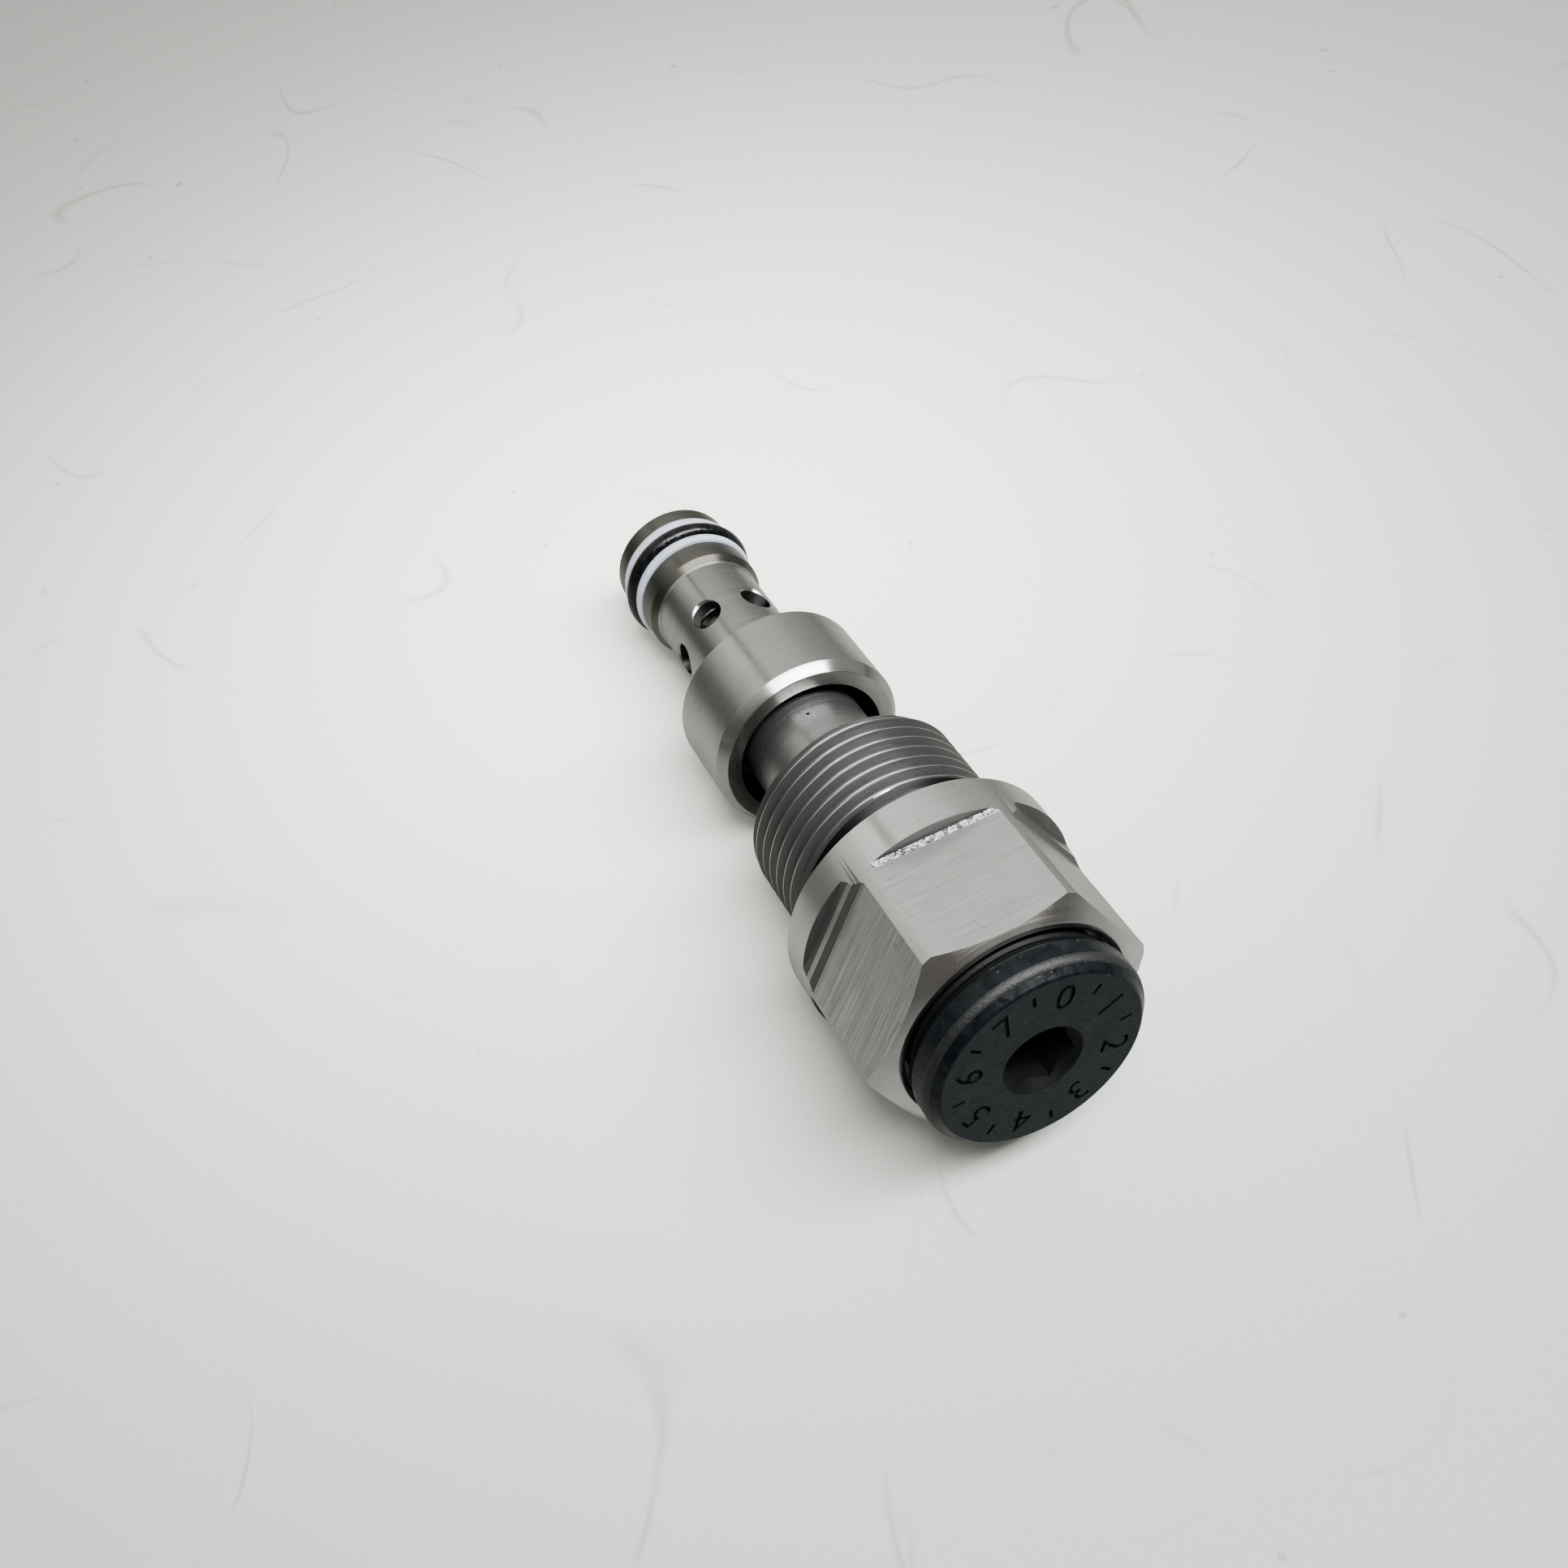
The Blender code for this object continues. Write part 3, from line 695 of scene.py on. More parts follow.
def ground_metal(name, colour, dark, roughness):
    """Hardened and ground: hardly any marks, a slow change of tone."""
    s = Shader(name, colour, roughness, 1.0)
    fine = s.turning_marks(14.0)
    s.set("Base Color", s.tint(s.span(s.noise(s.mm, scale=0.5, detail=3.0), 0.35, 0.7), colour, dark))
    s.set("Roughness", s.span(fine, 0.3, 0.7, roughness - 0.05, roughness + 0.08))
    s.set("Normal", s.bump(fine, 0.0015))
    return s.mat


def wire_metal(name, colour, roughness):
    """Drawn spring wire: faint scale and a film of oil."""
    s = Shader(name, colour, roughness, 1.0, Coat_Weight=0.15, Coat_Roughness=0.15)
    scale = s.noise(s.mm, scale=1.8, detail=4.0)
    s.set("Base Color", s.tint(s.span(scale, 0.35, 0.7), colour, tuple(c * 0.55 for c in colour)))
    s.set("Roughness", s.span(scale, 0.3, 0.7, roughness - 0.08, roughness + 0.12))
    s.set("Normal", s.bump(scale, 0.003))
    return s.mat


def rubber(name):
    """Oiled nitrile: black, with smears of oil that catch the light unevenly."""
    s = Shader(name, (0.0015, 0.0016, 0.0018), 0.28, 0.0, Specular_IOR_Level=0.22)
    smear = s.noise(s.mm, scale=0.9, detail=4.0, warp=1.2)
    fine = s.noise(s.mm, scale=5.0, detail=3.0)
    s.set("Base Color", s.tint(s.span(smear, 0.4, 0.7), (0.0008, 0.0009, 0.0010), (0.0025, 0.0028, 0.0030)))
    s.set("Roughness", s.span(smear, 0.35, 0.65, 0.16, 0.30))
    s.set("Normal", s.bump(fine, 0.02, s.bump(smear, 0.05)))
    return s.mat


def ptfe(name):
    """Cool white PTFE, faintly waxy, with handling marks."""
    s = Shader(name, (0.72, 0.77, 0.86), 0.38, 0.0, Subsurface_Weight=0.15, Subsurface_Scale=0.0006)
    cloud = s.noise(s.mm, scale=0.6, detail=3.0)
    lines = s.turning_marks(5.0)
    marks = s.span(s.noise(s.mm, scale=1.6, detail=3.0), 0.62, 0.72)
    base = s.tint(s.span(cloud, 0.35, 0.7), (0.35, 0.385, 0.45), (0.28, 0.31, 0.37))
    s.set("Base Color", s.tint(s.times(marks, 0.35), base, (0.20, 0.21, 0.23)))
    s.set("Roughness", s.span(cloud, 0.3, 0.7, 0.32, 0.46))
    s.set("Normal", s.bump(lines, 0.006))
    return s.mat


def black_side(name):
    """Glossy blue-black oxide on the head's turned side."""
    s = Shader(name, (0.001, 0.0015, 0.002), 0.24, 0.0, Specular_IOR_Level=0.13)
    fine = s.turning_marks(7.0)
    smear = s.noise(s.mm, scale=0.7, detail=4.0, warp=0.8)
    base = s.tint(s.span(smear, 0.35, 0.7), (0.0010, 0.0014, 0.0017), (0.0030, 0.0045, 0.0055))
    dust = s.span(s.noise(s.mm, scale=2.6, detail=1.0), 0.74, 0.78)
    s.set("Base Color", s.tint(s.times(dust, 0.5), base, (0.05, 0.055, 0.058)))
    s.set("Roughness", s.span(smear, 0.3, 0.7, 0.16, 0.36))
    s.set("Normal", s.bump(fine, 0.006, s.bump(smear, 0.05)))
    return s.mat


def black_edge(name):
    """Rounded rim of the head, blasted rough, so that its highlight breaks up."""
    s = Shader(name, (0.003, 0.003, 0.003), 0.36, 0.0, Specular_IOR_Level=0.30)
    grit = s.noise(s.mm, scale=4.5, detail=4.0, rough=0.7)
    s.set("Base Color", s.tint(s.span(grit, 0.35, 0.7), (0.0018, 0.0021, 0.0022), (0.0060, 0.0068, 0.0068)))
    s.set("Roughness", s.span(grit, 0.3, 0.7, 0.28, 0.50))
    s.set("Normal", s.bump(grit, 0.07))
    return s.mat


def black_face(name):
    """Matt charcoal face, mottled by its oxide finish."""
    s = Shader(name, (0.035, 0.041, 0.042), 0.62, 0.0, Specular_IOR_Level=0.14)
    grit = s.noise(s.mm, scale=5.5, detail=5.0, rough=0.7)
    cloud = s.noise(s.mm, scale=0.9, detail=4.0)
    base = s.tint(s.span(cloud, 0.35, 0.68), (0.0034, 0.0066, 0.0068), (0.0064, 0.0110, 0.0114))
    s.set("Base Color", s.tint(s.span(grit, 0.42, 0.75), base, (0.0012, 0.0017, 0.0016)))
    s.set("Roughness", s.span(grit, 0.3, 0.7, 0.50, 0.75))
    s.set("Normal", s.bump(grit, 0.05))
    return s.mat


def plain_dark(name, colour, roughness):
    """Black oxide, darker than the face, for the socket, the digits and other places that light hardly
    reaches; in the socket it is painted shade.
    """
    s = Shader(name, colour, roughness, 0.0, Specular_IOR_Level=0.1)
    grit = s.noise(s.mm, scale=4.0, detail=4.0)
    s.set("Base Color", s.tint(s.span(grit, 0.3, 0.7), tuple(c * 0.6 for c in colour), colour))
    s.set("Normal", s.bump(grit, 0.03))
    return s.mat


def hairlines(s, scale, width, bend):
    """Long thin curved scratches: where a slow noise crosses its middle value, broken up."""
    path = s.noise(s.mm, scale=scale, detail=1.0, warp=bend)
    line = s.span(s.math("ABSOLUTE", s.math("SUBTRACT", path, 0.5)), 0.0, width, 1.0, 0.0)
    worn = s.span(s.noise(s.mm, scale=scale * 2.6, detail=1.0), 0.55, 0.66)
    return s.times(line, worn)


def floor_material(name):
    """Pale coated board with a painted pool of light, palest beyond the nose, and faint curved scratches and
    specks.
    """
    s = Shader(name, (0.80, 0.81, 0.79), 0.55)
    centre_x, centre_y, reach = PAINTED_LIGHT_POOL
    away = s.combine(s.math("DIVIDE", s.math("SUBTRACT", s.x, centre_x), reach),
                     s.math("DIVIDE", s.math("SUBTRACT", s.y, centre_y), reach), 0.0)
    square = s.node("ShaderNodeVectorMath", {0: away, 1: away}, operation="DOT_PRODUCT").outputs["Value"]
    # Painted pool of light: the colour goes from pale to dark away from the spot
    painted_pool = s.math("POWER", s.math("ADD", square, 1.0), -PAINTED_LIGHT_FADE)
    grain = s.noise(s.mm, scale=1.1, detail=3.0)
    base = s.tint(painted_pool, PAINTED_FALLOFF_COLOUR, PAINTED_POOL_COLOUR)
    for scale, width, bend, strength in FLOOR_SCRATCHES:
        share = s.times(hairlines(s, scale, width, bend), strength)
        base = s.tint(share, base, s.vector("MULTIPLY", base, (0.45, 0.45, 0.42)))
    specks = s.span(s.noise(s.mm, scale=0.35, detail=0.0), 0.86, 0.88)
    base = s.tint(s.times(specks, 0.4), base, s.vector("MULTIPLY", base, (0.3, 0.3, 0.3)))
    base = s.tint(s.span(grain, 0.3, 0.7, 0.0, 0.08), base, s.vector("MULTIPLY", base, (0.5, 0.5, 0.5)))
    # Painted shade: rays that the metal mirrors see the floor darker
    mirrored = s.node("ShaderNodeLightPath").outputs["Is Glossy Ray"]
    s.set("Base Color", s.tint(s.times(mirrored, PAINTED_MIRROR_SHADE), base, (0, 0, 0)))
    s.set("Roughness", s.span(grain, 0.3, 0.7, 0.48, 0.62))
    s.set("Normal", s.bump(grain, 0.015))
    return s.mat


# ---------------------------------------------------------------- pieces

def add(piece, body, slot, *nodes):
    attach(piece, body)
    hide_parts(*nodes)


def square_section(station, half, near_r, far_r):
    """Outline of a square groove or ring, from one radius to another and back."""
    front, rear = station - half, station + half
    return [(front, near_r), (front, far_r), (rear, far_r), (rear, near_r)]


def sleeve(ends, outer_r, hole_r, flare, depth):
    """Outline of a sleeve whose hole opens out at its rear end."""
    front, rear = ends
    return stepped(front, outer_r, rear, hole_r + flare) + [(rear - depth, hole_r), (front, hole_r)]


def body_envelope(station):
    """Largest radius of the mounting thread: a front chamfer and the run-out to the undercut."""
    front = 10.45 + (station - THREAD_FRONT) * 1.1
    rear = UNDERCUT_R + (THREAD_REAR - station) * 1.6
    return min(THREAD_R, front, rear)


def hexagon_body(mats):
    """Hexagon head, flange, helical thread, stem and spigot: one closed body, bored through."""
    face_edge = HEX_HALF - 0.6
    chamfer_start = HEAD_FACE - (FLANGE_R - face_edge) * tan(CHAMFER_ANGLE)
    seat_depth, seat_r = ORING_SEAT
    behind = stepped(THREAD_REAR, UNDERCUT_R, seat_depth, seat_r, 0, FLANGE_R, chamfer_start)
    behind += [(HEAD_FACE, face_edge), (HEAD_FACE, SKIRT_BORE_R + 0.5), (HEAD_FACE - 0.5, SKIRT_BORE_R)]
    behind += reversed(square_section(CLIP_STATION, CLIP_GROOVE, SKIRT_BORE_R, SKIRT_BORE_R + CLIP_GROOVE))
    behind.append((SKIRT_FLOOR, SKIRT_BORE_R))
    behind += stepped(SKIRT_FLOOR, ADJUST_BORE[0], ADJUST_BORE[1], PLUNGER_BORE[0], PLUNGER_BORE[1],
                      SPRING_BORE_R, PILOT_BORE[1], PILOT_BORE[0], SPIGOT_END, SPIGOT_R)
    behind += square_section(*SPIGOT_SEAL[:2], SPIGOT_R, SPIGOT_SEAL[2])
    behind += square_section(*CAGE_WIRE, SPIGOT_R, SPIGOT_R - CAGE_WIRE[1])
    behind += [(STEM_END, SPIGOT_R), (STEM_END, STEM_R), (THREAD_FRONT, STEM_R),
               (THREAD_FRONT, body_envelope(THREAD_FRONT))]
    outline = open_rounded(behind, BODY_EDGE)
    piece = threaded("hex_body_steel", outline, (THREAD_FRONT, THREAD_REAR),
                     (FIRST_CREST, THREAD_PITCH, THREAD_R, THREAD_DEPTH), body_envelope, LARGE, mats)
    high = FLANGE_R + 2
    for degrees, steps in HEX_STEPS.items():
        profile = [(steps[0][0], high)] + [(x, HEX_HALF + h) for x, h in steps]
        profile += [(HEAD_FACE + 3, HEX_HALF), (HEAD_FACE + 3, high)]
        carve(piece, prism(profile, radians(degrees), FLANGE_R * 0.65))
    drain = bmesh.new()
    drill(drain, DRAIN_STATION, DRAIN_PHASE, [(SPRING_BORE_R - 1, DRAIN_R), (STEM_R + 1, DRAIN_R)], 24)
    carve(piece, drain)
    flats = [directions(radians(degrees))[0] for degrees in HEX_STEPS]

    def on_flat(face):
        return any(face.normal.dot(n) > 0.9999 for n in flats)

    def hexagon_edge(edge):
        middle = (edge.verts[0].co + edge.verts[1].co) / 2 / MM
        station = middle.x - SHOULDER_X
        outside = hypot(middle.y, middle.z) > HEX_HALF - 1.0
        return station > 3.0 and outside and any(f.calc_area() > 2e-6 or on_flat(f) for f in edge.link_faces)

    break_edges(piece, HEX_EDGE, hexagon_edge)

    def finish_of(x, r, n, angle):
        if THREAD_FRONT - 0.01 < x < 0.2 and r > 9 and not (x > -0.1 and r > ORING_SEAT[1]):
            last_crest = FIRST_CREST + THREAD_PITCH * (LAST_TURN - angle / tau)
            # Past the last crest, the run-out up to the flange is painted near-black: painted shade
            if x > last_crest + 0.12:
                return WALL_SHADE
            # Crests take the bright steel and the flanks a much darker copy of it: painted shade
            return STEEL if r > THREAD_R - 0.05 else THREAD_SHADE
        if 3.5 < x < HEAD_FACE and r > HEX_HALF - 0.3 and abs(n.x) < 0.999:
            level = max(Vector((0, n.y, n.z)).dot(f) for f in flats)
            if level > 0.99999 and abs(n.x) < 0.02:
                return MILLED
            # The step's slope is painted: a brighter copy on the flat that faces the key light, a painted
            # highlight; the darker thread copy on the other flats, painted shade
            if 0.15 < n.x < 0.98 and x < 6 and level / hypot(n.y, n.z) > 0.9999:
                return TORN_HIGHLIGHT if abs(angle) < radians(28) else THREAD_SHADE
        # The steps' faces towards the head are painted dark: painted shade, near-black on the top flat
        if 3 < x < 6 and r > HEX_HALF and n.x > 0.95:
            return WALL_SHADE if abs(angle) < radians(28) else THREAD_SHADE
        return STEM if x < THREAD_FRONT and r < 7 else STEEL

    paint(piece, finish_of)
    add(piece, "valve_body", "zinc_steel", "hex_body")


def cage(mats):
    """Seal lands, ported neck and recessed collar: one closed body."""
    spigot_bore = SPIGOT_R + RUN
    wire = CAGE_WIRE[1]
    long_chamfer, deep_chamfer = COLLAR_CHAMFER
    groove_front, groove_rear, groove_r = SEAL_GROOVE
    outline = [(NOSE_TIP, LAND_R - 0.5)]
    outline += stepped(NOSE_TIP + 0.5, LAND_R, groove_front, groove_r, groove_rear, REAR_LAND_R, LAND_REAR)
    outline.append((NECK_START, NECK_R + 0.12))
    outline += stepped(NECK_START + 0.25, NECK_R, COLLAR_FRONT, COLLAR_R - COLLAR_EDGE)
    outline += stepped(COLLAR_FRONT + COLLAR_EDGE, COLLAR_R, COLLAR_REAR - long_chamfer)
    outline.append((COLLAR_REAR, COLLAR_R - deep_chamfer))
    outline += stepped(COLLAR_REAR, RECESS[0], RECESS[1], spigot_bore)
    outline += reversed(square_section(CAGE_WIRE[0], wire, spigot_bore, spigot_bore + wire))
    outline.append((SPIGOT_END - 0.3, spigot_bore))
    outline += stepped(SPIGOT_END - 0.3, CAGE_BORE_R, INLET_SHOULDER, INLET_R, NOSE_TIP)
    piece = turned("nose_cage_steel", outline, LARGE, mats, CAGE_EDGE)
    ports = bmesh.new()
    lip = NECK_R - 0.12
    wide = PORT_R + 2 * PORT_LEAD
    levels = [(CAGE_BORE_R - 0.8, PORT_R), (lip - PORT_LEAD, PORT_R), (lip + PORT_LEAD, wide),
              (NECK_R + 1.0, wide)]
    for k in range(PORTS):
        drill(ports, PORT_STATION, PORT_PHASE + tau * k / PORTS, levels, 48)
    carve(piece, ports)

    def finish_of(x, r, n, angle):
        if x < NECK_START + 0.05 and r > SEAL_GROOVE[2] - 0.1:
            return LANDS
        # Port bores and the collar's recess take a near-black copy of the steel: painted shade
        if r < CAGE_BORE_R + 1.3 and abs(x - PORT_STATION) < 2:
            return BORE_SHADE
        if RECESS[1] - 0.2 < x < COLLAR_REAR - 0.15 and r < RECESS[0] + 0.05:
            return BORE_SHADE
        return NECK if x < COLLAR_FRONT - 0.01 else COLLAR

    paint(piece, finish_of)
    add(piece, "valve_body", "turned_steel", "nose_cage")


def backup(name, station, mat, node):
    """PTFE backup ring with a crowned outer face."""
    inner = SEAL_GROOVE[2] + RUN
    crown = arc((station + BACKUP_WIDTH / 2, BACKUP_R - 1.1), 1.1, 118, 62, 8)
    piece = turned(name, [(station, inner)] + crown + [(station + BACKUP_WIDTH, inner)], MEDIUM, [mat], 0.1)
    add(piece, "valve_body", "backup_ptfe", node)


def seals(black, white, wire):
    front, rear, floor = SEAL_GROOVE
    backup("nose_backup_front_ring", front + RUN, white, "nose_backup_front")
    backup("nose_backup_rear_ring", rear - RUN - BACKUP_WIDTH, white, "nose_backup_rear")
    rings = [("nose_o_ring_rubber", (front + rear) / 2, floor + RUN + NOSE_ORING_R, NOSE_ORING_R,
              LARGE, "nose_o_ring", 0.03),
             ("port_o_ring_rubber", -PORT_ORING_R - 0.2, UNDERCUT_R + RUN + PORT_ORING_R, PORT_ORING_R,
              LARGE, "port_o_ring", 0.03),
             ("spigot_o_ring_rubber", SPIGOT_SEAL[0], SPIGOT_SEAL[2] + 0.55, 0.5, MEDIUM,
              "spigot_o_ring", 0.0)]
    for name, station, mean_radius, section, sides, node, flash in rings:
        add(ring_seal(name, station, mean_radius, section, sides, black, flash),
            "valve_body", "seal_rubber", node)
    add(ring_seal("cage_retaining_wire", CAGE_WIRE[0], SPIGOT_R + RUN / 2, 0.35, MEDIUM, wire),
        "valve_body", "spring_steel", "cage_retaining_ring")


def retaining_ring(mat):
    """Split ring that stops the adjusting screw's shoulder."""
    front, rear = CLIP_STATION - 0.4, CLIP_STATION + 0.4
    outline = stepped(front, SCREW_NECK_R + 0.2, rear, SKIRT_BORE_R + 0.4, front)
    piece = turned("retaining_ring_steel", outline, MEDIUM, [mat])
    gap = bmesh.new()
    spot = Matrix.Translation(point(CLIP_STATION, SKIRT_BORE_R + CLIP_GROOVE, pi))
    bmesh.ops.create_cube(gap, size=1, matrix=spot @ sized(3, CLIP_GAP, 6))
    carve(piece, gap)
    add(piece, "valve_body", "spring_steel", "adjuster_retaining_ring")


def screw_envelope(station):
    front = SHANK_R - 0.6 + (station - SHANK_TIP)
    return min(SHANK_R, front, SHANK_R - 0.5 + (SHANK_REAR - 0.6 - station))


def digit_shape(character):
    """Flat outline mesh of one plain digit, centred, one unit high."""
    text = bpy.data.curves.new("digit", "FONT")
    text.body = character
    text.align_x, text.align_y = "CENTER", "CENTER"
    text.resolution_u = 3
    text.extrude = 0.5
    item = place("digit", text)
    mesh = evaluated(item)
    bpy.data.objects.remove(item, do_unlink=True)
    bpy.data.curves.remove(text)
    return mesh


def dial_cutter():
    """Stamped dial: the digits 0 to 7 round the head's face, with a tick between each two."""
    bm = bmesh.new()
    for k in range(DIAL_MARKS):
        angle = DIAL_PHASE + tau * k / DIAL_MARKS
        outward, across = directions(angle)
        turn = Matrix((across, outward, Vector((1, 0, 0)))).transposed().to_4x4()
        mesh = digit_shape(str(k))
        spot = Matrix.Translation(point(HEAD_END, DIAL_R, angle)) @ turn
        mesh.transform(spot @ sized(DIAL_SIZE, DIAL_SIZE, 2 * DIAL_DEPTH))
        bm.from_mesh(mesh)
        bpy.data.meshes.remove(mesh)
        middle = angle + pi / DIAL_MARKS
        spot = Matrix.Translation(point(HEAD_END, DIAL_R + 0.9, middle))
        tick = Matrix.Rotation(-middle, 4, "X") @ sized(2 * DIAL_DEPTH, *DIAL_TICK)
        bmesh.ops.create_cube(bm, size=1, matrix=spot @ tick)
    return bm


def hexagon_socket_cutter():
    bm = bmesh.new()
    corner = SOCKET_AF / sqrt(3)
    ends = []
    for station in (HEAD_END - SOCKET_DEPTH, HEAD_END + 1):
        ends.append([bm.verts.new(point(station, corner, SOCKET_PHASE + pi / 3 * k)) for k in range(6)])
    closed_tube(bm, ends)
    return bm


def adjusting_screw(mats):
    """Black head with socket, neck in the skirt bore, and threaded shank."""
    guide_r = SKIRT_BORE_R - RUN
    pocket = arc((SHANK_TIP, 0), BALL_R + RUN, 0, 90, 10)
    edge_r = 0.9
    rim = arc((HEAD_END - 0.6 - edge_r, HEAD_R - edge_r), edge_r, 90, 32, 8)
    outline = [(SHANK_REAR, SHANK_R - 1.1),
               *stepped(SHANK_REAR, guide_r, SHOULDER_TOP, SCREW_NECK_R, NECK_BOTTOM, HEAD_NECK_R - 0.12),
               (NECK_BOTTOM + 0.45, HEAD_NECK_R), (NECK_BOTTOM + 0.75, HEAD_NECK_R - 0.25),
               (NECK_BOTTOM + 1.05, HEAD_NECK_R), (HEAD_FRONT, HEAD_NECK_R),
               (HEAD_FRONT, HEAD_R - 0.35), (HEAD_FRONT + 0.2, HEAD_R - 0.05), (HEAD_FRONT + 0.5, HEAD_R)]
    outline += rim
    outline += [(HEAD_END - 0.12, HEAD_FACE_R + 0.05), (HEAD_END, HEAD_FACE_R - 0.15),
                (HEAD_END, SOCKET_MOUTH_R + 0.12), (HEAD_END - 0.12, SOCKET_MOUTH_R),
                (HEAD_END - 0.95, SOCKET_AF / 2 - RUN), (HEAD_END - 0.95, 0), (pocket[0][0], 0)]
    outline += pocket[1:] + [(SHANK_TIP, screw_envelope(SHANK_TIP))]
    piece = threaded("adjusting_screw_black", open_rounded(outline, SCREW_EDGE), (SHANK_TIP, SHANK_REAR),
                     (0.0, THREAD_PITCH, SHANK_R, SHANK_DEPTH), screw_envelope, MEDIUM, mats)
    carve(piece, hexagon_socket_cutter())
    carve(piece, dial_cutter())

    def finish_of(x, r, n, angle):
        if x > HEAD_END - 0.01 and r > SOCKET_MOUTH_R - 0.1:
            return FACE
        if x > HEAD_END - DIAL_DEPTH - 0.01 and SOCKET_MOUTH_R + 0.15 < r < HEAD_FACE_R - 0.2:
            return HIDDEN_AND_SHADE
        if HEAD_END - 1.65 < x < HEAD_END - 0.75 and r > HEAD_FACE_R:
            return RIM
        # The socket takes the darkest black, as do faces out of sight: in the socket it is painted shade
        return HIDDEN_AND_SHADE if x < HEAD_FRONT + 0.05 or r < SOCKET_MOUTH_R + 0.1 or n.x > 0.99 else SIDE

    paint(piece, finish_of)
    add(piece, "adjuster", "black_head", "adjusting_screw")


def inner_pieces(hard, brass, black, white, chrome, wire):
    """What works inside: seat, poppet, pilot stage, plunger and springs."""
    steel, bronze, backing = (hard, "hardened_steel"), (brass, "orifice_brass"), (white, "backup_ptfe")
    bore = CAGE_BORE_R - RUN
    pilot_bore = PILOT_BORE[0] - RUN
    plunger_r = PLUNGER_BORE[0] - RUN
    pin_r = ADJUSTING_SPRING[0] - ADJUSTING_SPRING[1] - 2 * RUN
    pocket = arc((SHANK_TIP, 0), BALL_R + RUN, 108, 180, 10)
    groove_front, groove_rear, groove_depth = PLUNGER_GROOVE
    groove_r = plunger_r - groove_depth
    groove = POPPET_GROOVE
    cup, cup_r = POPPET_CUP
    orifice_r, hole_r = ORIFICE_R
    cone_rear = PILOT_CONE[0] + 1.9
    turned_list = [
        ("seat_insert_steel", sleeve(SEAT, bore, SEAT_HOLE_R, 0.7, 0.9),
         MEDIUM, steel, "valve_body", "seat_insert"),
        ("poppet_steel", [*POPPET_CONE, (POPPET_GUIDE, bore), (groove, bore), (groove + 0.1, bore - 0.2),
                          (groove + 0.4, bore - 0.2), (groove + 0.5, bore), (POPPET[1], bore),
                          *stepped(POPPET[1], cup_r, cup, orifice_r + RUN, POPPET[0])],
         MEDIUM, steel, "poppet", "poppet"),
        ("orifice_plug_brass", sleeve(ORIFICE, orifice_r, hole_r, 0.2, 0.3),
         SMALL, bronze, "poppet", "orifice_plug"),
        ("pilot_seat_steel", sleeve(PILOT_SEAT, pilot_bore, PILOT_HOLE_R, 0.7, 0.7),
         SMALL, steel, "valve_body", "pilot_seat"),
        ("pilot_cone_steel", [(PILOT_CONE[0], 0), (cone_rear, PILOT_CONE_R),
                              (PILOT_CONE[1], PILOT_CONE_R), (PILOT_CONE[1], 0)],
         SMALL, steel, "pilot", "pilot_cone"),
        ("front_spring_plate", [(FRONT_PLATE[0], 0),
                                *stepped(FRONT_PLATE[0], FRONT_PLATE_R, FRONT_PLATE[1], pin_r),
                                (FRONT_PLATE_PIN, pin_r - 0.3), (FRONT_PLATE_PIN, 0)],
         SMALL, steel, "pilot", "front_spring_seat"),
        ("rear_spring_plate", [(REAR_PLATE_PIN, 0), (REAR_PLATE_PIN, pin_r - 0.3), (PLUNGER[0], pin_r),
                               *stepped(PLUNGER[0], plunger_r, groove_front, groove_r, groove_rear,
                                        plunger_r, PLUNGER[1]), *pocket[:-1], (pocket[-1][0], 0)],
         MEDIUM, steel, "plunger", "rear_spring_seat"),
        ("plunger_backup_ptfe", square_section(*PLUNGER_BACKUP, groove_r + RUN, plunger_r - RUN / 2),
         MEDIUM, backing, "plunger", "plunger_backup_ring"),
    ]
    for name, outline, sides, (mat, slot), body, node in turned_list:
        add(turned(name, outline, sides, [mat], INNER_EDGE), body, slot, node)
    station, section = PLUNGER_ORING
    add(ring_seal("plunger_o_ring_rubber", station, groove_r + section + RUN / 2, section, MEDIUM, black),
        "plunger", "seal_rubber", "plunger_o_ring")
    half = arc((SHANK_TIP, 0), BALL_R, 180, 0, 32)[1:-1]
    ball = turned("thrust_ball_chrome", [(SHANK_TIP - BALL_R, 0)] + half + [(SHANK_TIP + BALL_R, 0)],
                  SMALL, [chrome], 0)
    add(ball, "plunger", "ball_steel", "thrust_ball")
    springs(wire)


def springs(wire):
    """Both springs; the adjusting spring is in two halves, as both its ends can move."""
    front, rear = ADJUSTING_SPAN
    middle = (front + rear) / 2
    halves = [("adjusting_spring_front", (0.0, 0.5), "pilot", "valve_body", front, middle),
              ("adjusting_spring_rear", (0.5, 1.0), "valve_body", "plunger", middle, rear)]
    for name, share, first, second, start, end in halves:
        half = coil(name, front, rear, ADJUSTING_SPRING, wire, share)
        stretch(half, first, second, start, end, "adjusting_spring")
    light = coil("poppet_spring_wire", *POPPET_SPAN, POPPET_SPRING, wire)
    stretch(light, "poppet", "valve_body", *POPPET_SPAN, "poppet_spring")


def stretch(spring, first, second, start, end, node):
    """Bake a spring's place into its mesh and hide its CAD node."""
    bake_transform(spring)
    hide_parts(node)


# ---------------------------------------------------------------- stage

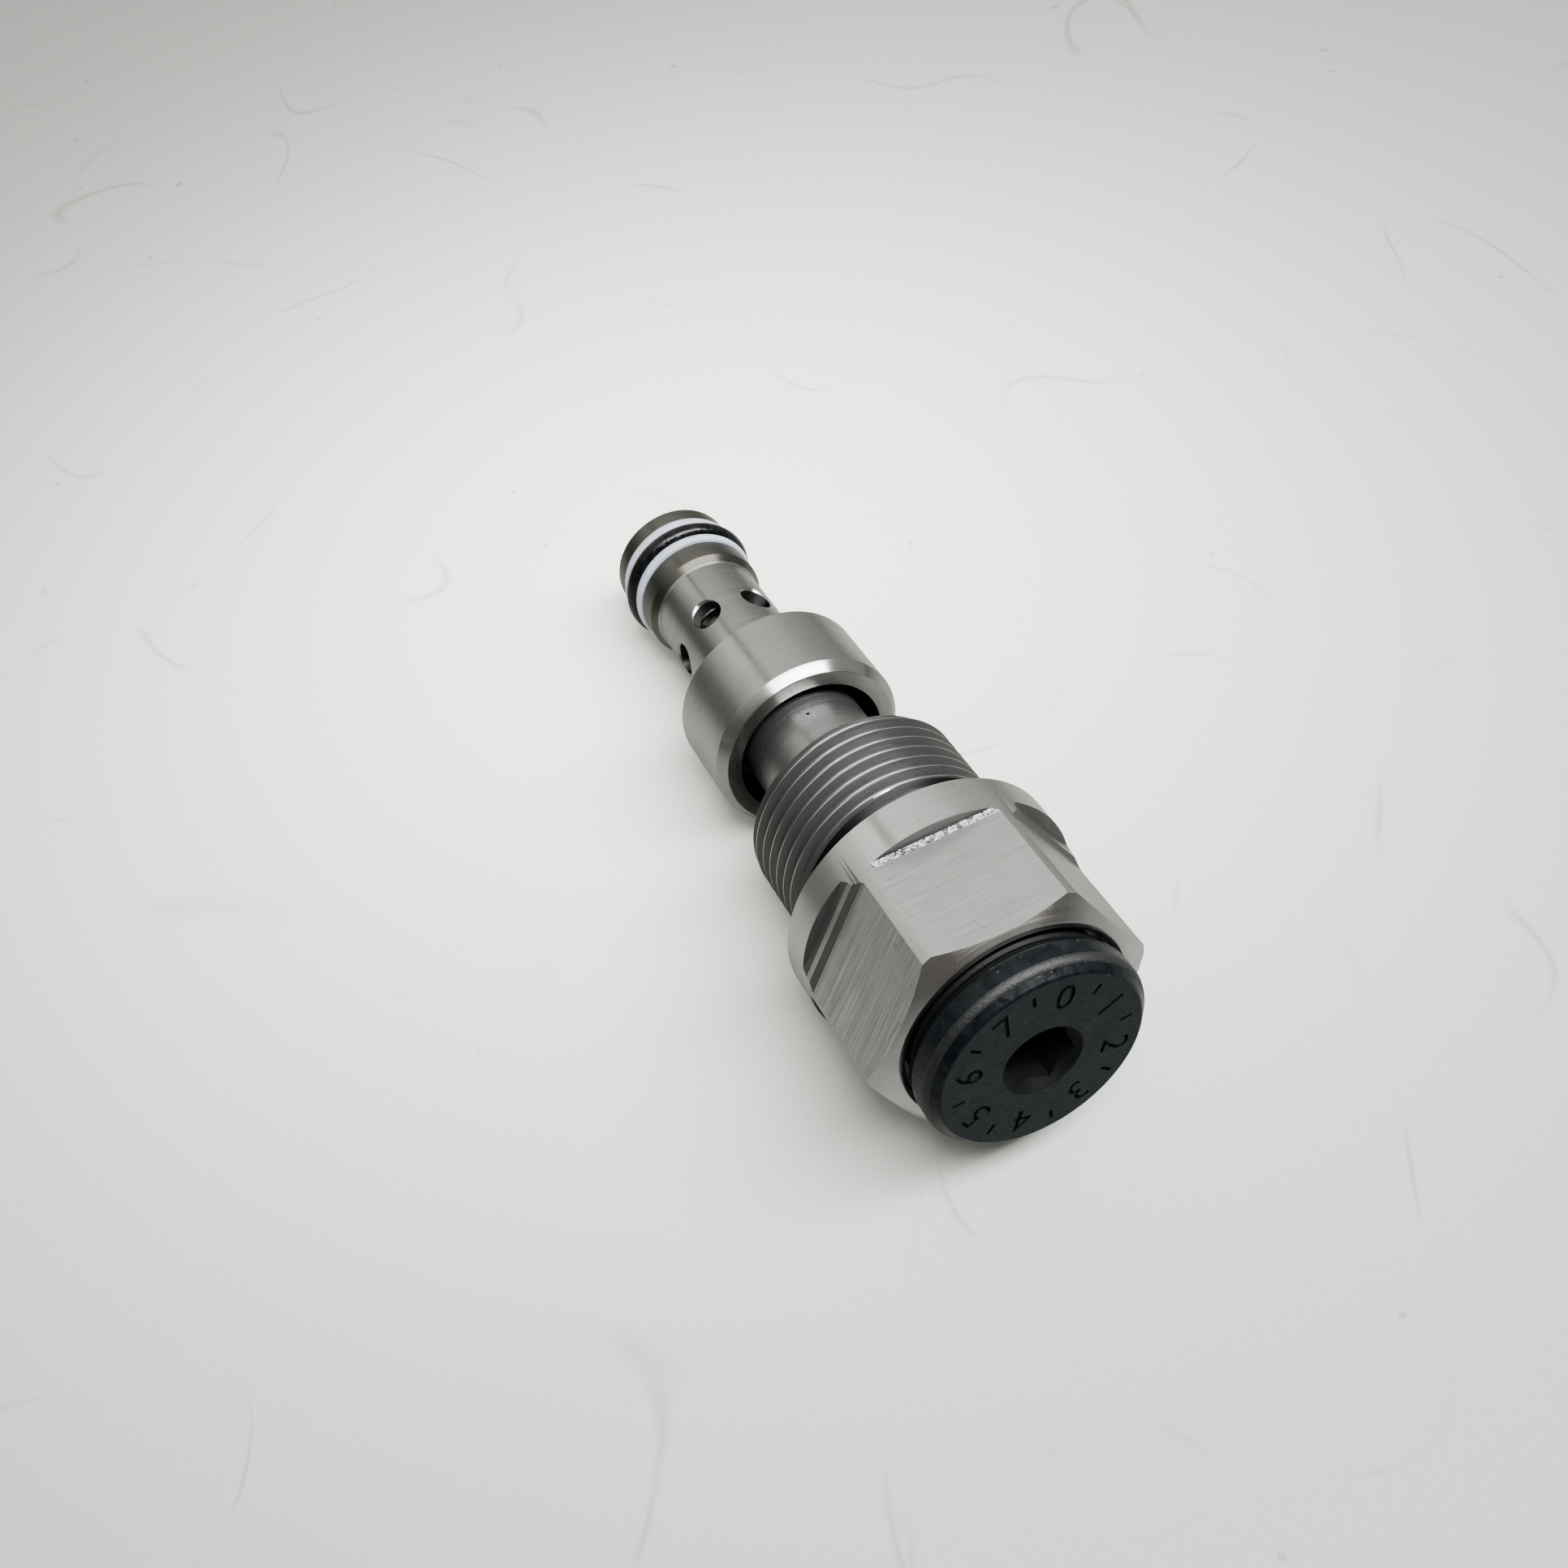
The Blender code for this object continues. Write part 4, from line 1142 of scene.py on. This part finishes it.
def floor():
    """The valve lies on its flange and its collar, so the floor is tilted in the valve's frame."""
    touch_flange = Vector((SHOULDER_X, -FLANGE_R))
    touch_collar = Vector((COLLAR_FRONT + COLLAR_EDGE + SHOULDER_X, -COLLAR_R))
    along = touch_flange - touch_collar
    bm = bmesh.new()
    bmesh.ops.create_grid(bm, x_segments=FLOOR_STEPS, y_segments=FLOOR_STEPS, size=FLOOR_HALF)
    mesh = bpy.data.meshes.new("floor")
    bm.to_mesh(mesh)
    bm.free()
    item = place("floor", mesh)
    item.location = Vector((touch_flange.x, 0, touch_flange.y - FLOOR_GAP)) * MM
    item.rotation_euler = (0, -atan2(along.y, along.x), 0)
    mesh.materials.append(floor_material("floor_board_painted_light"))


def room():
    """Plain soft room: a bright ceiling, dim walls; brightness follows the angle about the axis."""
    world = bpy.data.worlds.new("room")
    bpy.context.scene.world = world
    world.use_nodes = True
    nodes = Nodes(world.node_tree)
    direction = nodes.node("ShaderNodeTexCoord").outputs["Generated"]
    x, y, z = nodes.node("ShaderNodeSeparateXYZ", {0: direction}).outputs
    turn = nodes.span(nodes.math("ARCTAN2", y, z), -pi, pi)
    ramp = nodes.node("ShaderNodeValToRGB", {0: turn})
    ramp.color_ramp.interpolation = "EASE"
    elements = ramp.color_ramp.elements
    for degrees, level in ROOM_LEVELS:
        position = (degrees + 180) / 360
        element = elements[0] if degrees == ROOM_LEVELS[0][0] else elements.new(position)
        element.position = position
        element.color = (*(level * share for share in ROOM_TINT), 1)
    elements.remove(elements[-1])
    behind = nodes.node("ShaderNodeMapRange", {0: x, 1: ROOM_DARK_SIDE[0], 2: ROOM_DARK_SIDE[1]},
                        interpolation_type="SMOOTHSTEP").outputs[0]
    around = nodes.tint(behind, ramp.outputs[0], ROOM_DARK_COLOUR)
    seen = nodes.node("ShaderNodeLightPath").outputs["Is Camera Ray"]
    background = world.node_tree.nodes["Background"]
    nodes.feed(background.inputs[0], nodes.tint(seen, around, ROOM_WALL_COLOUR))
    nodes.feed(background.inputs[1], ROOM_STRENGTH)


def lights():
    for name, direction, distance, size, power, mirrored in LIGHTS:
        data = bpy.data.lights.new(name, "AREA")
        data.shape = "RECTANGLE"
        data.size, data.size_y = size
        data.energy = power
        item = place(name, data)
        outward = Vector(direction).normalized()
        item.location = outward * distance
        item.visible_glossy = mirrored
        item.rotation_mode = "QUATERNION"
        across = Vector((0, 1, 0)).cross(outward).normalized()
        turn = Matrix((across, outward.cross(across), outward)).transposed()
        item.rotation_quaternion = turn.to_quaternion()


def camera():
    data = bpy.data.cameras.new("camera")
    data.lens = LENS
    data.sensor_width = SENSOR
    data.clip_start = 10 * MM
    item = place("camera", data)
    azimuth, elevation = radians(CAMERA_AZIMUTH), radians(CAMERA_ELEVATION)
    back = Vector((-sin(azimuth) * cos(elevation), -cos(azimuth) * cos(elevation), sin(elevation)))
    item.location = (Vector(CAMERA_AIM) + back * CAMERA_DISTANCE) * MM
    item.rotation_mode = "QUATERNION"
    item.rotation_quaternion = back.to_track_quat("Z", "Y") @ Quaternion((0, 0, 1), radians(CAMERA_ROLL))
    bpy.context.scene.camera = item


def main():
    steel = turned_metal("zinc_steel_turned", (0.54, 0.54, 0.525), (0.38, 0.38, 0.37), 0.20)
    # Much darker copy of the zinc steel: painted shade on the thread's flanks and on the steps of the flats
    # away from the key light
    thread = turned_metal("zinc_steel_thread_painted_shade", (0.094, 0.095, 0.092), (0.068, 0.069, 0.066), 0.28, grain=7.0,
                          grip=0.3, bare=0.84)
    milled = milled_metal("zinc_steel_milled", (0.56, 0.56, 0.545), (0.27, 0.27, 0.262), 0.30)
    # Brighter copy of the zinc steel: painted highlight on the step of the top flat
    torn_highlight = torn_metal("zinc_steel_step_painted_highlight", (0.75, 0.76, 0.78), (0.10, 0.10, 0.10))
    stem = turned_metal("zinc_steel_stem", (0.205, 0.205, 0.20), (0.145, 0.145, 0.14), 0.24, depth=0.0006,
                        bare=0.93)
    # Near-black copy of the zinc steel: painted shade on the run-out behind the thread and on the top flat's
    # step
    wall_shade = turned_metal("zinc_steel_wall_painted_shade", (0.05, 0.05, 0.048), (0.03, 0.03, 0.03), 0.35)
    neck = turned_metal("cage_steel_neck", (0.27, 0.27, 0.262), (0.17, 0.17, 0.165), 0.22)
    cage_steel = turned_metal("cage_steel_turned", (0.34, 0.34, 0.33), (0.23, 0.23, 0.22), 0.22)
    olive = turned_metal("cage_steel_lands", (0.085, 0.083, 0.071), (0.056, 0.054, 0.046), 0.30)
    # Near-black copy of the cage steel: painted shade in the ports and the collar's recess
    shade = turned_metal("cage_steel_bores_painted_shade", (0.05, 0.05, 0.048), (0.03, 0.03, 0.03), 0.40)
    # Ground hardened steel coloured dark, so that the pieces seen through the ports look shaded: painted
    # shade
    hard = ground_metal("hardened_steel_ground_painted_shade", (0.085, 0.084, 0.08), (0.05, 0.05, 0.048), 0.20)
    brass = turned_metal("orifice_brass_turned", (0.74, 0.56, 0.28), (0.55, 0.40, 0.18), 0.28)
    wire = wire_metal("spring_wire", (0.30, 0.30, 0.32), 0.34)
    chrome = ground_metal("ball_chrome", (0.72, 0.72, 0.73), (0.62, 0.62, 0.63), 0.10)
    black = rubber("seal_rubber_oiled")
    white = ptfe("backup_ptfe_white")
    # The last and darkest black is painted shade in the socket
    head = [black_side("head_black_side"), black_edge("head_black_edge"), black_face("head_black_face"),
            plain_dark("head_black_bores_painted_shade", (0.0012, 0.0014, 0.0015), 0.5)]

    hexagon_body([steel, thread, milled, torn_highlight, stem, wall_shade])
    cage([cage_steel, olive, shade, neck])
    seals(black, white, wire)
    retaining_ring(wire)
    adjusting_screw(head)
    inner_pieces(hard, brass, black, white, chrome, wire)
    floor()
    room()
    lights()
    camera()


main()
